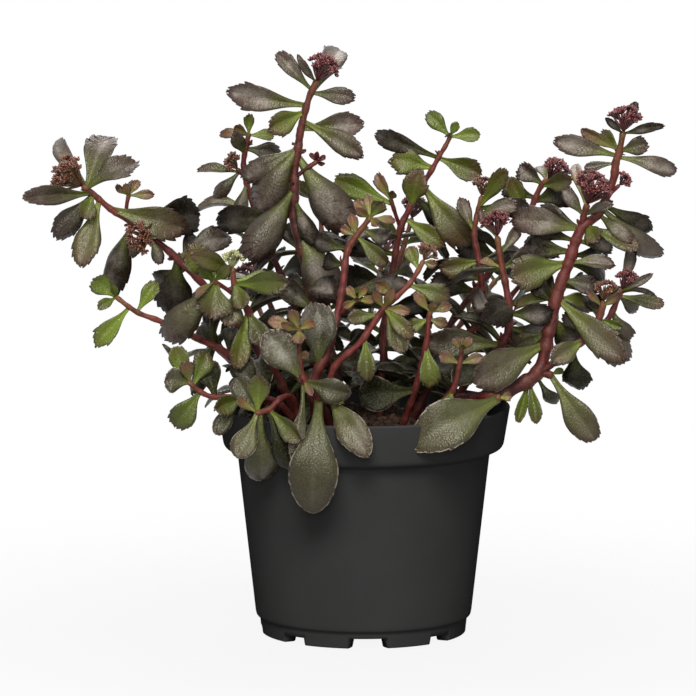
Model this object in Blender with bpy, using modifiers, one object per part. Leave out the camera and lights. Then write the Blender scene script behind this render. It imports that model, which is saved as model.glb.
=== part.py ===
"""A potted stonecrop: leafy shoots with flower heads, planted in the soil of a round nursery pot.

The origin is the centre of the pot's underside, on the surface that the pot stands on. +Z is up and
-Y is the side that faces the viewer. Lengths in the tables are millimetres.
"""

import math
from collections import namedtuple

import bmesh
import bpy
from mathutils import Vector
from mathutils.bvhtree import BVHTree

MM = 0.001
GAP = 0.3

# The pot.
POT_HEIGHT = 94.0
RIM_RADIUS = 60.0
RIM_FOOT_RADIUS = 57.5
RIM_BAND = 17.0
BODY_TOP_RADIUS = 51.8
BODY_FOOT_RADIUS = 44.4
FOOT_RADIUS = 42.0
FOOT_HEIGHT = 4.5
FOOT_WALL = 2.2
WALL = 1.6
RIM_LIP = 1.4
LIP_ROUND = 0.6
BAND_STEP = 2.4
BAND_INNER_RISE = 1.6
WALL_DROP = 2.0
DRAIN_SIDES = 8
DRAIN_CUT = 20.0
FLOOR_THICKNESS = 1.8
PAD_RADIUS = 15.0
PAD_SLOPE = 1.6
DRAIN_HOLES = 4
DRAIN_RADIUS = 4.0
DRAIN_CIRCLE = 28.0
POT_SIDES = 32
NOTCHES = 8
NOTCH_TURN = math.radians(2.5)
NOTCH_HEIGHT = 4.2
FRONT_NOTCH_WIDTH = 19.0
SIDE_NOTCH_WIDTH = 14.0

# The soil and the stems' feet in it.
SOIL_LEVEL = 85.0
SOIL_CROWN = 3.0
SOIL_BUMP = 0.8
ROOT_HEIGHT = 79.0
HOLE_LENGTH = 22.0

# The leaves, as shares of a leaf's length or half width.
WIDEST = 0.66
STALK_SHARE = 0.17
FOLD = math.radians(24)
ARCH = 0.15
STATIONS = (0.0, 0.4, 0.72, 0.965)
SMALL_STATIONS = (0.0, 0.56, 0.94)
BROAD_WIDTH = 13.2
SMALL_WIDTH = 10.2
BLADE_START = 0.34
TIP_BACK = 0.9
LEAF_THICKNESS = 1.1
STEM_BEVEL = 1
RING_STEP = 16.0
GUARD = 0.9

# A leaf grows at place `at` along its branch, counted in points, and reaches (dx, dy, dz) from there.
# `turn` is how far its upper face turns from facing the front towards facing up, in degrees, and
# `age` runs from 0, a young leaf, to 1, the oldest. `arch` is the rise of its middle, where it is
# not the usual one.
Leaf = namedtuple("Leaf", "at dx dy dz width turn age arch", defaults=(None,))
# A branch runs through `points` and is `thick` across at its foot and at its tip. `head` is the
# name and the radius of the flower head that it carries.
Branch = namedtuple("Branch", "points thick leaves head", defaults=(None,))
# A leaf where it ends up, in the part's own frame.
Blade = namedtuple("Blade", "base reach normal width age arch")

SHOOTS = {
    "left_reaching_shoot": [
        Branch(
            [(-24, 0, 79), (-38, 0, 108), (-57, -1, 134), (-76, -3, 154.5), (-94, -5, 169.2),
             (-103, -6, 175.3), (-110, -7, 181.4), (-114.5, -8, 185)],
            (3.4, 2.0),
            [(6.5, 8, 3, 21.5, 13.5, 10, 0.75), (6.5, 18.5, -2, 12, 12, 40, 0.7),
             (6.1, -27, -12, 0, 10, 5, 0.75), (6.2, -17, 16, 21, 7.5, 0, 0.8), (6, -4, -7, -9, 9, 0, 0.3),
             (6, -15, -1, -17, 11, 0, 0.9), (5.6, -7, -5, -26, 13.5, -10, 0.5),
             (4, -11, -1, -27.5, 15, 15, 1.0), (5, 30, -8, -8, 14, 5, 0.55),
             (4, 27, 11, 2.5, 18, 5, 1.0), (3, -2, 5, -23.5, 17, 0, 1.0),
             (3, 21, 6, 9, 12, 20, 0.9), (2.8, -13, 6, -8, 11, 0, 1.0), (2.9, 5, 7, 9.5, 10, 0, 1.0)],
            ("left_flower_head", 7.6),
        ),
        Branch(
            [(-96.5, -5, 170.5), (-96.5, -5, 176.5), (-95.5, -5, 181.5)], (1.8, 1.4),
            [(2, -5, 0, 4, 3.5, 0, 0.4), (2, 10, 0, 0.5, 4.5, 20, 0.5), (2, 4, 0, 6, 3.5, 0, 0.4),
             (2, -1, -3, 4.5, 4, 0, 0.4), (2, 2, 3, 5, 4, 0, 0.4)],
        ),
        Branch(
            [(-85, -4.5, 163), (-86.5, -8, 163.5), (-88, -11, 164)], (2.2, 2.0),
            [(1, -3, 3, 9, 4.5, 0, 0.9), (1, -10, 0, -7, 5.5, 0, 0.8), (1, 4, -1, -10, 6, 0, 0.7)],
            ("left_hanging_flower_head", 5.8),
        ),
    ],
    "left_green_shoot": [
        Branch(
            [(-30, -8, 79), (-44, -14, 104), (-56, -17, 117.4), (-67, -18, 123.5), (-82, -19, 130.7),
             (-92, -20, 134.8), (-101, -20, 141.5)],
            (3.4, 1.6),
            [(6, -9, -1, 7.5, 9, 10, 0.1), (6, -6.5, -4, -3, 5, 30, 0.15), (6, -1, -3, 5, 4, 0, 0.1),
             (5, 7.5, 0, 12, 7.5, 10, 0.1), (5.3, -13.5, -2, -15, 9, 0, 0.1),
             (2, -11, 3, 11, 11, 0, 1.0), (1.9, 1, 7, 10, 8, 0, 1.0)],
        ),
    ],
    "left_front_shoot": [
        Branch(
            [(-22, -14, 79), (-34, -22, 107), (-43, -28, 126), (-47, -31, 137.3), (-51, -32, 143),
             (-52.5, -32, 149), (-53, -32, 154.5)],
            (3.4, 1.8),
            [(5.7, -13, -6, 8, 9, 0, 0.4), (5, 15, 0, 2, 7, 45, 0.2), (5, 4, -7, -10, 8.5, 0, 0.35),
             (4.8, 21, -2, 2, 11, 10, 0.25), (3, 7, -3, -14, 9.5, 0, 0.4),
             (4.3, -3, -6, -13, 12, 0, 0.5),
             (3, -4, -4, -23, 9, 20, 0.3)],
            ("cream_flower_head", 3.4),
        ),
        Branch(
            [(-50, -32, 141.5), (-56, -34, 146.5), (-61, -36, 149.7)], (2.0, 1.5),
            [(2, -10, -2, 13.5, 13.5, 5, 0.3), (1.6, -2, -7, -12.5, 16, 0, 0.4),
             (2, -7, -4, -4, 4.5, 40, 0.4),
             (2, -5, -3, 6, 5, 20, 0.15), (2, -1, -3, 8, 5, 0, 0.15), (1.6, -21, 2, -24, 14, 0, 0.65),
             (2, 5, -5, 6, 5, 0, 0.2)],
        ),
    ],
    "lower_left_shoot": [
        Branch(
            [(-20, -24, 79), (-34, -33, 99), (-48, -37, 102.5), (-60, -38, 102.6), (-66, -39, 105),
             (-71, -40, 109.4)],
            (3.0, 1.6),
            [(4, -10, -1, -14, 11.5, 0, 0.15), (5, -9.5, -2, 2, 11, 0, 0.55), (4.5, 6, 1, 13, 9, 0, 0.2),
             (5, -6, 2, 14, 9, 0, 0.15), (5, -1, 1, 9, 6, 0, 0.3), (5, -12, 4, 13, 5, 60, 0.9),
             (2, -12, -4, -4, 10, 0, 0.25), (2.2, -9, -7, -15, 9, 0, 0.5), (3, -3, 5, 14, 12, 0, 1.0),
             (1.6, -8, 4, 16, 12, 0, 1.0), (1.8, -6, 9, 8, 11, 0, 1.0)],
        ),
    ],
    "front_left_shoot": [
        Branch(
            [(-23, -31, 79), (-28, -41, 101), (-33, -50, 104), (-38, -54, 100), (-43.5, -57, 99)],
            (2.8, 1.9),
            [(4, 1, -2, 15, 10, 0, 0.25), (4, -8, 3, 13, 10.5, 0, 0.5), (4, -8.5, -3, 5.5, 5, 50, 0.35),
             (3.8, -7.5, -4, -18, 12, 0, 0.5), (3, 13, -11, -11, 9.5, 0, 0.3),
             (3, 8, -2, -26, 13.5, 0, 0.95),
             (3.6, 1, 2, -32, 17, 0, 0.6)],
        ),
    ],
    "front_rim_shoot": [
        Branch(
            [(-10, -30, 79), (-18, -50, 104), (-24, -53, 111.5), (-26, -53, 121), (-26, -53, 133)],
            (3.4, 2.0),
            [(1, -3, -17, -42, 21, 0, 0.55, 8.5), (2, -3, -12, -36, 11, 30, 0.7),
             (2, 17, -7, -5, 12, 0, 0.6),
             (2, -15, -3, 20, 15.5, 0, 0.8), (4, -12, -1, 4, 6, 20, 0.35), (4, -6, -4, 3, 4.5, 0, 0.3),
             (4, 6, -3, 4, 5, 0, 0.3), (4, 0, -7, -4, 6, 0, 0.4), (4, -3, 2, 8, 5, 0, 0.4),
             (3, 4, -6, 2, 4, 0, 0.5), (3, -5, -6, 0, 4, 0, 0.5), (2, 3, -6, -4, 4, 0, 0.5)],
        ),
    ],
    "front_middle_shoot": [
        Branch(
            [(-16, -28, 79), (-20.5, -40, 104), (-19, -43, 113), (-14, -42, 124), (-9, -37, 144),
             (-7, -33, 160), (-3, -32, 167.5), (3, -31, 175.3)],
            (4.4, 1.8),
            [(2.3, -1, -2, 25, 18, 0, 0.9), (6, -2, -2, 8.5, 5, 0, 0.35), (6, 12, -3, -11, 8, 0, 0.4),
             (6, -6, 0, 3, 4.5, 0, 0.35), (7, -6, 0, 7, 4.5, 0, 0.35), (7, -1, 2, 9, 4.5, 0, 0.35),
             (7, 5, -2, 7, 6.5, 0, 0.4), (7, 10, 0, -1, 4, 40, 0.3), (7, 3, -4, -2, 4, 0, 0.3),
             (4, 27, -2, 4, 9, 30, 1.0), (5.2, -13, 6, 3, 9, 0, 1.0), (6.3, 12, 5, -4, 9, 0, 0.9),
             (4.7, -8, 5, 1, 8, 0, 1.0),
             (7, -5, -1, 4, 4, 0, 0.4)],
        ),
        Branch(
            [(-10, -39, 136), (-6, -41, 140), (-2, -43, 143)], (2.0, 1.5),
            [(2, -4, 0, 5.5, 4, 0, 0.35), (2, 3.5, 0, 6, 4, 0, 0.3), (2, 0, -4, 2, 3.5, 0, 0.35),
             (2, 7, -2, 1, 4, 30, 0.35), (2, -6, -1, -2, 4, 0, 0.35)],
        ),
    ],
    "front_red_stemmed_shoot": [
        Branch(
            [(-2, -28, 79), (-13, -43, 102), (-12, -46, 115.5), (-2, -47, 125.5), (3, -46, 132.4),
             (8, -45, 139.8), (13, -43, 144), (18, -41, 148.7), (22, -40, 154.6), (24, -39, 158.5)],
            (3.0, 1.6),
            [(1.1, 15, -22, -20, 14.5, 0, 0.55, 6.0), (1.3, 5, -8, -3, 5, 0, 0.0),
             (3.4, 1, -4, -17, 8.5, 0, 0.35),
             (4.6, -12.5, -2, -1, 7, 20, 0.35), (5, 10, -3, -1, 5, 20, 0.4),
             (5, -4, -3, 7, 4.5, 0, 0.3), (5, 3, -4, 7, 4.5, 0, 0.35), (5, 10, -4, -9, 7.5, 0, 0.4),
             (6, -8, 0, 6, 6, 0, 0.3), (5.2, 7, -6, -18, 9.5, 0, 0.4), (7, 16, -2, -5, 9, 0, 0.3),
             (8, -4, 2, 9, 6.5, 0, 0.3), (9, 5, -2, -1, 4, 0, 0.4)],
            ("front_flower_head", 3.4),
        ),
    ],
    "front_centre_shoot": [
        Branch(
            [(12, -24, 79), (20, -36, 103), (25, -42, 124.5), (26, -42, 135), (27, -42, 138.5)],
            (2.6, 1.6),
            [(1.1, -22, 4, -3, 16, 0, 0.95), (2, 2, -4, -16, 9, 0, 0.2),
             (3, -8, -2, -3.5, 6.5, 0, 0.3), (4, -6, 0, 8, 4.5, 0, 0.3),
             (4, 8, 0, 3, 5, 20, 0.3), (4, 1, -4, 4, 4, 0, 0.25), (3, 7, -2, -2, 5, 0, 0.3)],
        ),
    ],
    "front_right_shoot": [
        Branch(
            [(18, -26, 79), (28, -38, 97), (35.5, -44, 106), (38.5, -45, 117.3), (39.5, -45, 123.5)],
            (2.6, 1.5),
            [(2, -3, -6, -8, 8.5, 0, 0.3), (3, -8, -1, 4, 5.5, 0, 0.5), (3, 9, -1, 3, 5, 0, 0.5),
             (4, -3, -1, 5, 4, 0, 0.4), (4, 3, -1, 5, 4, 0, 0.4), (4, 0, 3, 5, 4, 0, 0.4),
             (4, 0, -3, 4, 3.5, 0, 0.4)],
        ),
    ],
    "right_main_shoot": [
        Branch(
            [(22, -12, 79), (38, -22, 97), (50, -28, 101), (62, -28, 105.5), (71, -26, 112),
             (75, -24, 127.5), (78, -22, 141), (83, -20, 155), (88, -18, 168.5), (95, -16, 174.5),
             (101, -15, 188), (102, -15, 195), (103.5, -15, 200), (105, -15, 208)],
            (6.4, 2.2),
            [(4.7, -30, -14, -13.5, 17, 5, 0.6), (5, -16, -1, -9, 14, 0, 0.75),
             (6, 27, -15, -23, 13, 0, 0.55),
             (6, -17, 2, -3, 10, 55, 0.4), (6, 13, 4, -2.5, 8.5, 60, 0.3),
             (7, -23, -4, -5, 15.5, 5, 0.35),
             (7, 18, -1, -0.5, 9.5, 60, 0.7), (7, 18, 8, -4, 14, 0, 1.0), (8, -27, -2, 4.5, 12, 8, 0.8),
             (8.3, 4, -7, -6, 8.5, -20, 0.3), (8.2, 22, -2, -9.5, 8.5, 35, 0.45),
             (9, 13, -5, -11, 9, 0, 0.7),
             (9.2, 24, -2, -22.5, 11.5, 0, 0.8), (9.3, 20, 3, -11.5, 9, 0, 1.0),
             (11, -12, 0, -3, 6, 50, 0.8),
             (12, -7.5, 3, 7, 7.5, 0, 0.4), (12, -15.5, 4, 9, 6, 0, 0.4),
             (11.5, 24, 0, -5.5, 8, 25, 0.8),
             (11.6, -25, 1, 6.5, 9, 10, 0.8), (12, 11, -2, 3, 9, 0, 0.6), (13, -8, 1, 8, 3.5, 0, 1.0),
             (13, 6, 7, 13, 4.5, 0, 1.0), (13, 14, -3, 4, 4.5, 0, 1.0),
             (3.5, -4.5, 0, -17, 5.5, 0, 0.15),
             (3.5, 3, -1, -17, 6.5, 0, 0.2), (3.8, 9, 6, -15, 7, 0, 1.0), (6.5, 14, -4, -3, 9, 20, 0.9),
             (7.3, -20, 7, 2, 11, 0, 1.0), (7.6, 15, 4, -3, 8, 20, 1.0), (5.4, 10, 6, -13, 12, 0, 1.0),
             (8, -17, 5, 7.5, 9, 0, 0.9),
             (5.8, -9, 8, 10, 9, 0, 1.0), (5.9, 15, 2, -3, 8, 10, 0.6), (7.6, -16, 8, 5, 9, 0, 1.0),
             (7.2, 13, 4, 0, 8, 0, 1.0), (6.3, 11, 5, 2, 9, 0, 1.0), (5.9, -5, 4, 10, 8, 0, 1.0)],
            ("right_tall_flower_head", 5.8),
        ),
        Branch(
            [(88, -18, 167), (89, -19, 174), (90.5, -20, 179)], (2.4, 2.2),
            [(1, -8, -3, 11, 6, 0, 0.9), (1, 10, -1, 6, 5, 20, 0.9), (1.6, -5, 8, 18, 5, 0, 0.6),
             (1.6, 3, 9, 15, 4.5, 0, 0.5)],
            ("right_broad_flower_head", 7.4),
        ),
        Branch(
            [(98, -15.5, 181), (101, -17, 184), (103.5, -18, 186.5)], (1.8, 1.6), [],
            ("right_small_flower_head", 2.6),
        ),
        Branch(
            [(70, -26.5, 110), (78, -28, 116), (84.5, -28, 121), (91, -28, 126.5), (95, -28, 133),
             (97, -28, 140.5)],
            (3.2, 2.4),
            [(2.7, -12.5, -6, -7, 10.5, 0, 0.45), (2, 2, 3, -18, 12, 0, 0.95),
             (3.4, 14, 4, -13, 15, 0, 0.85),
             (4, 9, -4, -3, 4.5, 0, 0.1), (4.6, -6, 0, 7, 4, 0, 0.5), (4.6, 6, 0, 6, 4, 0, 0.5),
             (3, -9, 5, 8, 9, 0, 1.0), (4, -2, 7, 8.5, 8, 0, 1.0)],
            ("right_low_flower_head", 4.4),
        ),
        Branch(
            [(91, -28, 126.5), (98, -27, 132), (101, -27, 137), (103, -27, 142.5), (104.5, -27, 145)],
            (2.4, 2.0),
            [(3.3, 4.5, 8, 15, 6, 0, 0.8), (3.6, 12.5, -5, 7.5, 4, 0, 0.9),
             (3, 18, 0, -4, 6.5, 20, 0.45),
             (3.4, 13, -5, 1, 3, 60, 1.0), (1.8, 6, 3, -13, 9, 0, 0.8), (3, 8, 5, -7, 7, 0, 0.9)],
            ("right_outer_flower_head", 4.4),
        ),
        Branch(
            [(71, -26.5, 111), (76.5, -28, 110)], (3.0, 2.6),
            [(1, 18, -3, -26.5, 14.5, 0, 0.5), (1, 5, -3, 3, 3.5, 0, 0.0)],
        ),
        Branch(
            [(38, -22, 97), (47, -33, 102), (55, -40, 102.5)], (3.4, 2.4),
            [(2, -32, -21, -13.5, 22, 5, 0.5, 3.0), (2, 5, -1, 1, 4, 20, 0.3)],
        ),
    ],
    "right_front_shoot": [
        Branch(
            [(30, -8, 79), (42, -18, 106), (56, -23, 122), (59, -23, 133.2), (57.5, -22, 146),
             (56, -21, 153), (54, -20, 165.8)],
            (3.4, 2.2),
            [(2, -31, -4, 3, 14, 0, 0.7), (5, -9, -2, 3, 5.5, 50, 0.4), (6, -8, 1, 12, 4.5, 0, 0.8),
             (5, 12, 2, 5, 9, 0, 0.9), (5.4, 8, 4, 11, 5, 0, 0.8), (2.6, 15, 8, -4, 12, 0, 1.0),
             (3.1, 17, 5, 2, 11, 0, 1.0)],
            ("right_front_flower_head", 5.6),
        ),
    ],
    "right_inner_shoot": [
        Branch(
            [(16, 0, 79), (32, -5, 112), (46, -8, 128), (49, -8, 135), (47, -8, 154), (45, -8, 166),
             (48, -8, 181)],
            (3.0, 1.8),
            [(5.6, 11, -4, 17, 8, 20, 0.3), (5, -6, 3, 13, 6, 0, 0.7), (5.4, 16, -4, 5, 9, 20, 0.7),
             (5.6, 21, 4, -1, 10, 20, 1.0), (4, -15, -3, -3, 9, 0, 0.45), (4, 13, 2, -2, 9, 0, 0.9),
             (3.6, -9, 3, 4, 9, 0, 1.0)],
            ("right_inner_flower_head", 4.0),
        ),
    ],
    "tall_left_shoot": [
        Branch(
            [(-6, -8, 79), (-14, -10, 118), (-22, -10, 146), (-27, -10, 166.4), (-28.5, -10, 173.4),
             (-28, -10, 184.4), (-28, -9, 191.3), (-26.5, -9, 201.3), (-25.5, -9, 208.3),
             (-22.5, -8, 220),
             (-19, -8, 228)],
            (4.6, 2.2),
            [(10, -6.5, -1, 10, 3.5, 0, 0.9), (9.2, 13, 13, 19, 10.5, 0, 0.85),
             (9.4, -14, 2, 15, 7, 0, 0.85),
             (9.3, 17, -1, -2, 7.5, 10, 0.7), (8.8, -31, -1, 5, 12, 0, 0.8),
             (8.6, -14, -8, -6, 11.5, 0, 0.35),
             (8, 24.5, 2, 1.5, 12, 10, 0.8), (8.3, 25, -5, -12.5, 11, 0, 0.65),
             (6.6, 20.5, -3, -30, 17, 0, 0.85),
             (7, -17, -3, -26, 17, 0, 0.85), (6.9, -22, 2, -12.5, 10, 10, 0.9),
             (5, -17, -4, -27, 18, 0, 0.85),
             (4, -32, 4, -4, 13, 0, 1.0), (3, 15, -4, -27.5, 18, 0, 0.85), (4.6, 7, 3, -18, 9, 0, 1.0),
             (1.5, -16, 4, 12, 11, 0, 1.0), (2.5, -8, 5, 10, 8, 0, 1.0)],
            ("tall_flower_head", 6.2),
        ),
        Branch(
            [(-28, -10, 188.5), (-23, -11, 192.5), (-18.5, -11, 195.5)], (1.8, 1.6),
            [(2, 3.5, 0, 2.5, 2.2, 0, 0.8), (2, 0.5, 0, 4.5, 2.2, 0, 0.8), (2, 3, -3, 0, 2.2, 0, 0.8),
             (2, -2.5, 1, 3.5, 2.2, 0, 0.8)],
        ),
    ],
    "back_left_tall_shoot": [
        Branch(
            [(-12, 14, 79), (-28, 20, 130), (-42, 24, 163), (-49, 26, 186), (-48.5, 26, 196.5),
             (-47, 26, 203)],
            (3.0, 1.6),
            [(5, -11.5, 0, 1, 5, 40, 0.4), (5, 0, 0, 8.5, 5, 0, 0.2), (5, 10, 0, 0, 5.5, 30, 0.2),
             (5, -6, -1, 4, 4.5, 0, 0.3), (4, 14, 1, -3, 10, 20, 0.9), (2.3, -25, 2, 2.5, 9, 65, 0.7),
             (2.8, -3, -2, -13, 6.5, 0, 0.8), (3.7, -3.5, 1, 9, 7, 0, 0.6)],
        ),
        Branch(
            [(-49, 26, 185.5), (-51, 25.5, 187), (-52, 25, 188.5)], (1.8, 1.6),
            [(1, -17, 0, 0.5, 6.5, 40, 0.6), (1, -10.5, 0, -11, 7, 0, 0.8), (1, -6, 1, 6, 4, 0, 0.8)],
            ("back_left_flower_head", 3.2),
        ),
    ],
    "green_topped_shoot": [
        Branch(
            [(6, 6, 79), (9, 7, 125), (13, 7, 155), (15, 6, 166), (18, 6, 172.5), (21, 6, 179),
             (27.5, 5, 189.5), (30.5, 5, 195), (34, 5, 201), (35.5, 5, 204.5)],
            (3.0, 1.5),
            [(9, -8.5, 0, 9.5, 7.5, 0, 0.1), (9, 12, -1, 1, 7, 20, 0.15), (9, 3, 1, 6, 4, 0, 0.1),
             (9, -1, -4, 2, 4, 0, 0.1), (6.2, -16, -2, 4, 11.5, 0, 0.25), (7, 17, -2, -6.5, 11, 0, 0.3),
             (7, -26, 3, 9, 9.5, 10, 0.95), (5.45, 18, -5, -24, 15.5, 0, 0.5),
             (5, 14, 4, -14, 9.5, 0, 1.0),
             (3.6, 15, -6, -10, 9, 0, 0.3), (4.4, 3, -9, 14, 12.5, 0, 0.4), (2, -24, -2, 5, 11, 10, 1.0),
             (1.5, -20, -2, 4, 12, 10, 1.0), (1.2, 17, -6, 5, 10, 0, 1.0)],
        ),
        Branch(
            [(15, 6, 166), (13, 4, 172), (11, 2, 178.5)], (1.8, 1.4),
            [(2, -6, -2, 10.5, 5.5, 0, 0.35), (1.6, -23, 0, 10, 11, 10, 0.15), (2, 1, -3, 5, 4, 0, 0.3)],
        ),
    ],
    "back_right_tall_shoot": [
        Branch(
            [(14, 12, 79), (34, 16, 122), (56, 15, 152), (67, 12, 170), (72, 11, 181.5),
             (75.5, 10, 186)],
            (3.0, 1.9),
            [(3, -7, -1, 16, 8.5, 0, 0.3), (4.3, -9, 0, 7.5, 9, 0, 0.9), (4.2, 12, -3, 3.5, 9, 0, 0.5),
             (3.5, 14, 2, 4, 12, 0, 1.0), (1.5, -17, -2, 5, 12, 10, 1.0), (2, -16, 4, 6, 13, 0, 1.0),
             (2, 16, -5, -3, 13, 0, 1.0), (4.7, -2, 3, 6, 7, 0, 0.9), (3.6, -12, 4, 4, 10, 0, 1.0)],
            ("back_right_flower_head", 5.2),
        ),
    ],
}

# The shoots at the back grow by rule: the way each leans, in degrees from +X towards +Y, how far out
# and how high its tip comes, and the radius of its flower head, or 0 for a leafy tip.
BACK_SHOOTS = {
    "back_shoot_1": (20, 78, 150, 4.5),
    "back_shoot_2": (48, 84, 138, 0),
    "back_shoot_3": (64, 46, 166, 5.0),
    "back_shoot_4": (84, 88, 146, 4.8),
    "back_shoot_5": (108, 58, 172, 0),
    "back_shoot_6": (124, 86, 134, 5.2),
    "back_shoot_7": (146, 60, 160, 0),
    "back_shoot_8": (166, 84, 136, 4.4),
}
BACK_ROOT_RADIUS = 24.0
BACK_LEAF_PAIRS = 6
BACK_LEAF_LENGTH = 26.0

# The bushy core, where old leaves fill the room that is left along the stems.
CORE_RADIUS = 66.0
CORE_FOOT = 99.0
CORE_TOP = 164.0
CORE_PAIR_STEP = 15.0
CORE_LEAF_LENGTH = 23.0
LEAF_ASPECT = 0.56
FACE_OUT = 1.1
CORE_FRONT = -24.0

STEM_RED = (0.16, 0.035, 0.035)
LEAF_BRONZE = (0.12, 0.12, 0.07)
HEAD_RED = (0.12, 0.02, 0.02)
HEAD_CREAM = (0.45, 0.42, 0.22)
SOIL_BROWN = (0.035, 0.02, 0.013)
POT_BLACK = (0.022, 0.023, 0.024)


def start_afresh():
    for old in list(bpy.data.objects):
        bpy.data.objects.remove(old)


def new_collection(name):
    made = bpy.data.collections.new(name)
    bpy.context.scene.collection.children.link(made)
    return made


def plain_material(name, colour, roughness):
    made = bpy.data.materials.new(name)
    made.use_nodes = True
    shader = made.node_tree.nodes["Principled BSDF"]
    shader.inputs["Base Color"].default_value = (*colour, 1.0)
    shader.inputs["Roughness"].default_value = roughness
    shader.inputs["Metallic"].default_value = 0.0
    return made


def object_from(name, bm, collection, material):
    """A bmesh in millimetres becomes a smooth-shaded object in metres."""
    bmesh.ops.scale(bm, vec=(MM, MM, MM), verts=bm.verts)
    mesh = bpy.data.meshes.new(name)
    bm.to_mesh(mesh)
    bm.free()
    mesh.shade_smooth()
    mesh.set_sharp_from_angle(angle=math.radians(40))
    mesh.materials.append(material)
    made = bpy.data.objects.new(name, mesh)
    collection.objects.link(made)
    return made


def hide_guide(guide):
    guide.hide_render = True
    guide.display_type = "WIRE"


def cut(target, cutter):
    made = target.modifiers.new("cut_" + cutter.name, "BOOLEAN")
    made.operation = "DIFFERENCE"
    made.object = cutter
    hide_guide(cutter)


# --- The pot ---------------------------------------------------------------------------------------


def body_radius(height):
    """The outside radius of the pot's tapered wall."""
    top = POT_HEIGHT - RIM_BAND - WALL_DROP
    share = (height - 2 * FOOT_HEIGHT) / (top - 2 * FOOT_HEIGHT)
    return BODY_FOOT_RADIUS + (BODY_TOP_RADIUS - BODY_FOOT_RADIUS) * share


def turned(name, profile, collection, material):
    """A solid of revolution from (radius, height) points, from the axis, down the outside, to the axis."""
    mesh = bpy.data.meshes.new(name)
    corners = [(radius * MM, 0.0, height * MM) for radius, height in profile]
    edges = [(i, i + 1) for i in range(len(corners) - 1)]
    mesh.from_pydata(corners, edges, [])
    mesh.materials.append(material)
    made = bpy.data.objects.new(name, mesh)
    collection.objects.link(made)
    screw = made.modifiers.new("turn", "SCREW")
    screw.steps = screw.render_steps = POT_SIDES
    screw.use_merge_vertices = True
    screw.merge_threshold = 1e-5
    screw.use_smooth_shade = True
    return made


def inner_radius(height):
    return body_radius(height) - WALL


def band_inner_radius(height):
    """The inside radius of the rim band, which widens towards the lip."""
    foot = POT_HEIGHT - RIM_BAND + BAND_INNER_RISE
    share = (height - foot) / (POT_HEIGHT - LIP_ROUND - foot)
    inner_foot = RIM_FOOT_RADIUS - BAND_STEP - WALL
    return inner_foot + (RIM_RADIUS - RIM_LIP - 0.2 - inner_foot) * share


def floor_profile(lift):
    """The top of the pot's floor from the wall to the axis: a raised floor, then the centre pad."""
    raised = FOOT_HEIGHT + FLOOR_THICKNESS + lift
    return [
        (FOOT_RADIUS - WALL - lift, raised),
        (PAD_RADIUS + PAD_SLOPE - lift, raised),
        (PAD_RADIUS - lift, FLOOR_THICKNESS + lift),
        (0.0, FLOOR_THICKNESS + lift),
    ]


def make_pot(collection, cutters):
    band_foot = POT_HEIGHT - RIM_BAND
    step = band_foot - WALL_DROP
    outside = [
        (RIM_RADIUS - RIM_LIP + 0.2, POT_HEIGHT),
        (RIM_RADIUS - 0.5, POT_HEIGHT),
        (RIM_RADIUS, POT_HEIGHT - LIP_ROUND),
        (RIM_FOOT_RADIUS, band_foot + 1.4),
        (RIM_FOOT_RADIUS - 0.8, band_foot),
        (RIM_FOOT_RADIUS - BAND_STEP, band_foot - 0.7),
        (BODY_TOP_RADIUS + 0.3, step),
        (body_radius(step - 2.0), step - 2.0),
        (BODY_FOOT_RADIUS, 2 * FOOT_HEIGHT),
        (BODY_FOOT_RADIUS - 0.2, FOOT_HEIGHT + 3.0),
        (FOOT_RADIUS + 0.6, FOOT_HEIGHT + 2.2),
        (FOOT_RADIUS, 0.0),
        (FOOT_RADIUS - FOOT_WALL, 0.0),
        (FOOT_RADIUS - FOOT_WALL + 0.4, FOOT_HEIGHT),
        (PAD_RADIUS + PAD_SLOPE, FOOT_HEIGHT),
        (PAD_RADIUS, 0.0),
        (0.0, 0.0),
    ]
    inside = [
        (RIM_RADIUS - RIM_LIP + 0.2, POT_HEIGHT),
        (band_inner_radius(POT_HEIGHT - LIP_ROUND), POT_HEIGHT - LIP_ROUND),
        (band_inner_radius(band_foot + BAND_INNER_RISE), band_foot + BAND_INNER_RISE),
        (inner_radius(step - 2.0), step - 2.0),
        (BODY_FOOT_RADIUS - WALL, 2 * FOOT_HEIGHT),
    ]
    inside += floor_profile(0.0)
    black = plain_material("black_plastic", POT_BLACK, 0.55)
    pot = turned("nursery_pot", list(reversed(inside))[:-1] + outside, collection, black)
    for index in range(NOTCHES):
        around = index * math.tau / NOTCHES - math.pi / 2 + NOTCH_TURN
        facing_front_or_back = index % (NOTCHES // 2) == 0
        width = FRONT_NOTCH_WIDTH if facing_front_or_back else SIDE_NOTCH_WIDTH
        cut(pot, make_notch_cutter(index, around, width, cutters, black))
    for index in range(DRAIN_HOLES):
        around = (index + 0.5) * math.tau / DRAIN_HOLES
        bm = bmesh.new()
        bmesh.ops.create_cone(
            bm, cap_ends=True, segments=DRAIN_SIDES, radius1=DRAIN_RADIUS, radius2=DRAIN_RADIUS,
            depth=DRAIN_CUT,
        )
        place = (DRAIN_CIRCLE * math.cos(around), DRAIN_CIRCLE * math.sin(around), 0.0)
        bmesh.ops.translate(bm, verts=bm.verts, vec=place)
        cut(pot, object_from(f"drain_cutter_{index}", bm, cutters, black))


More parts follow.
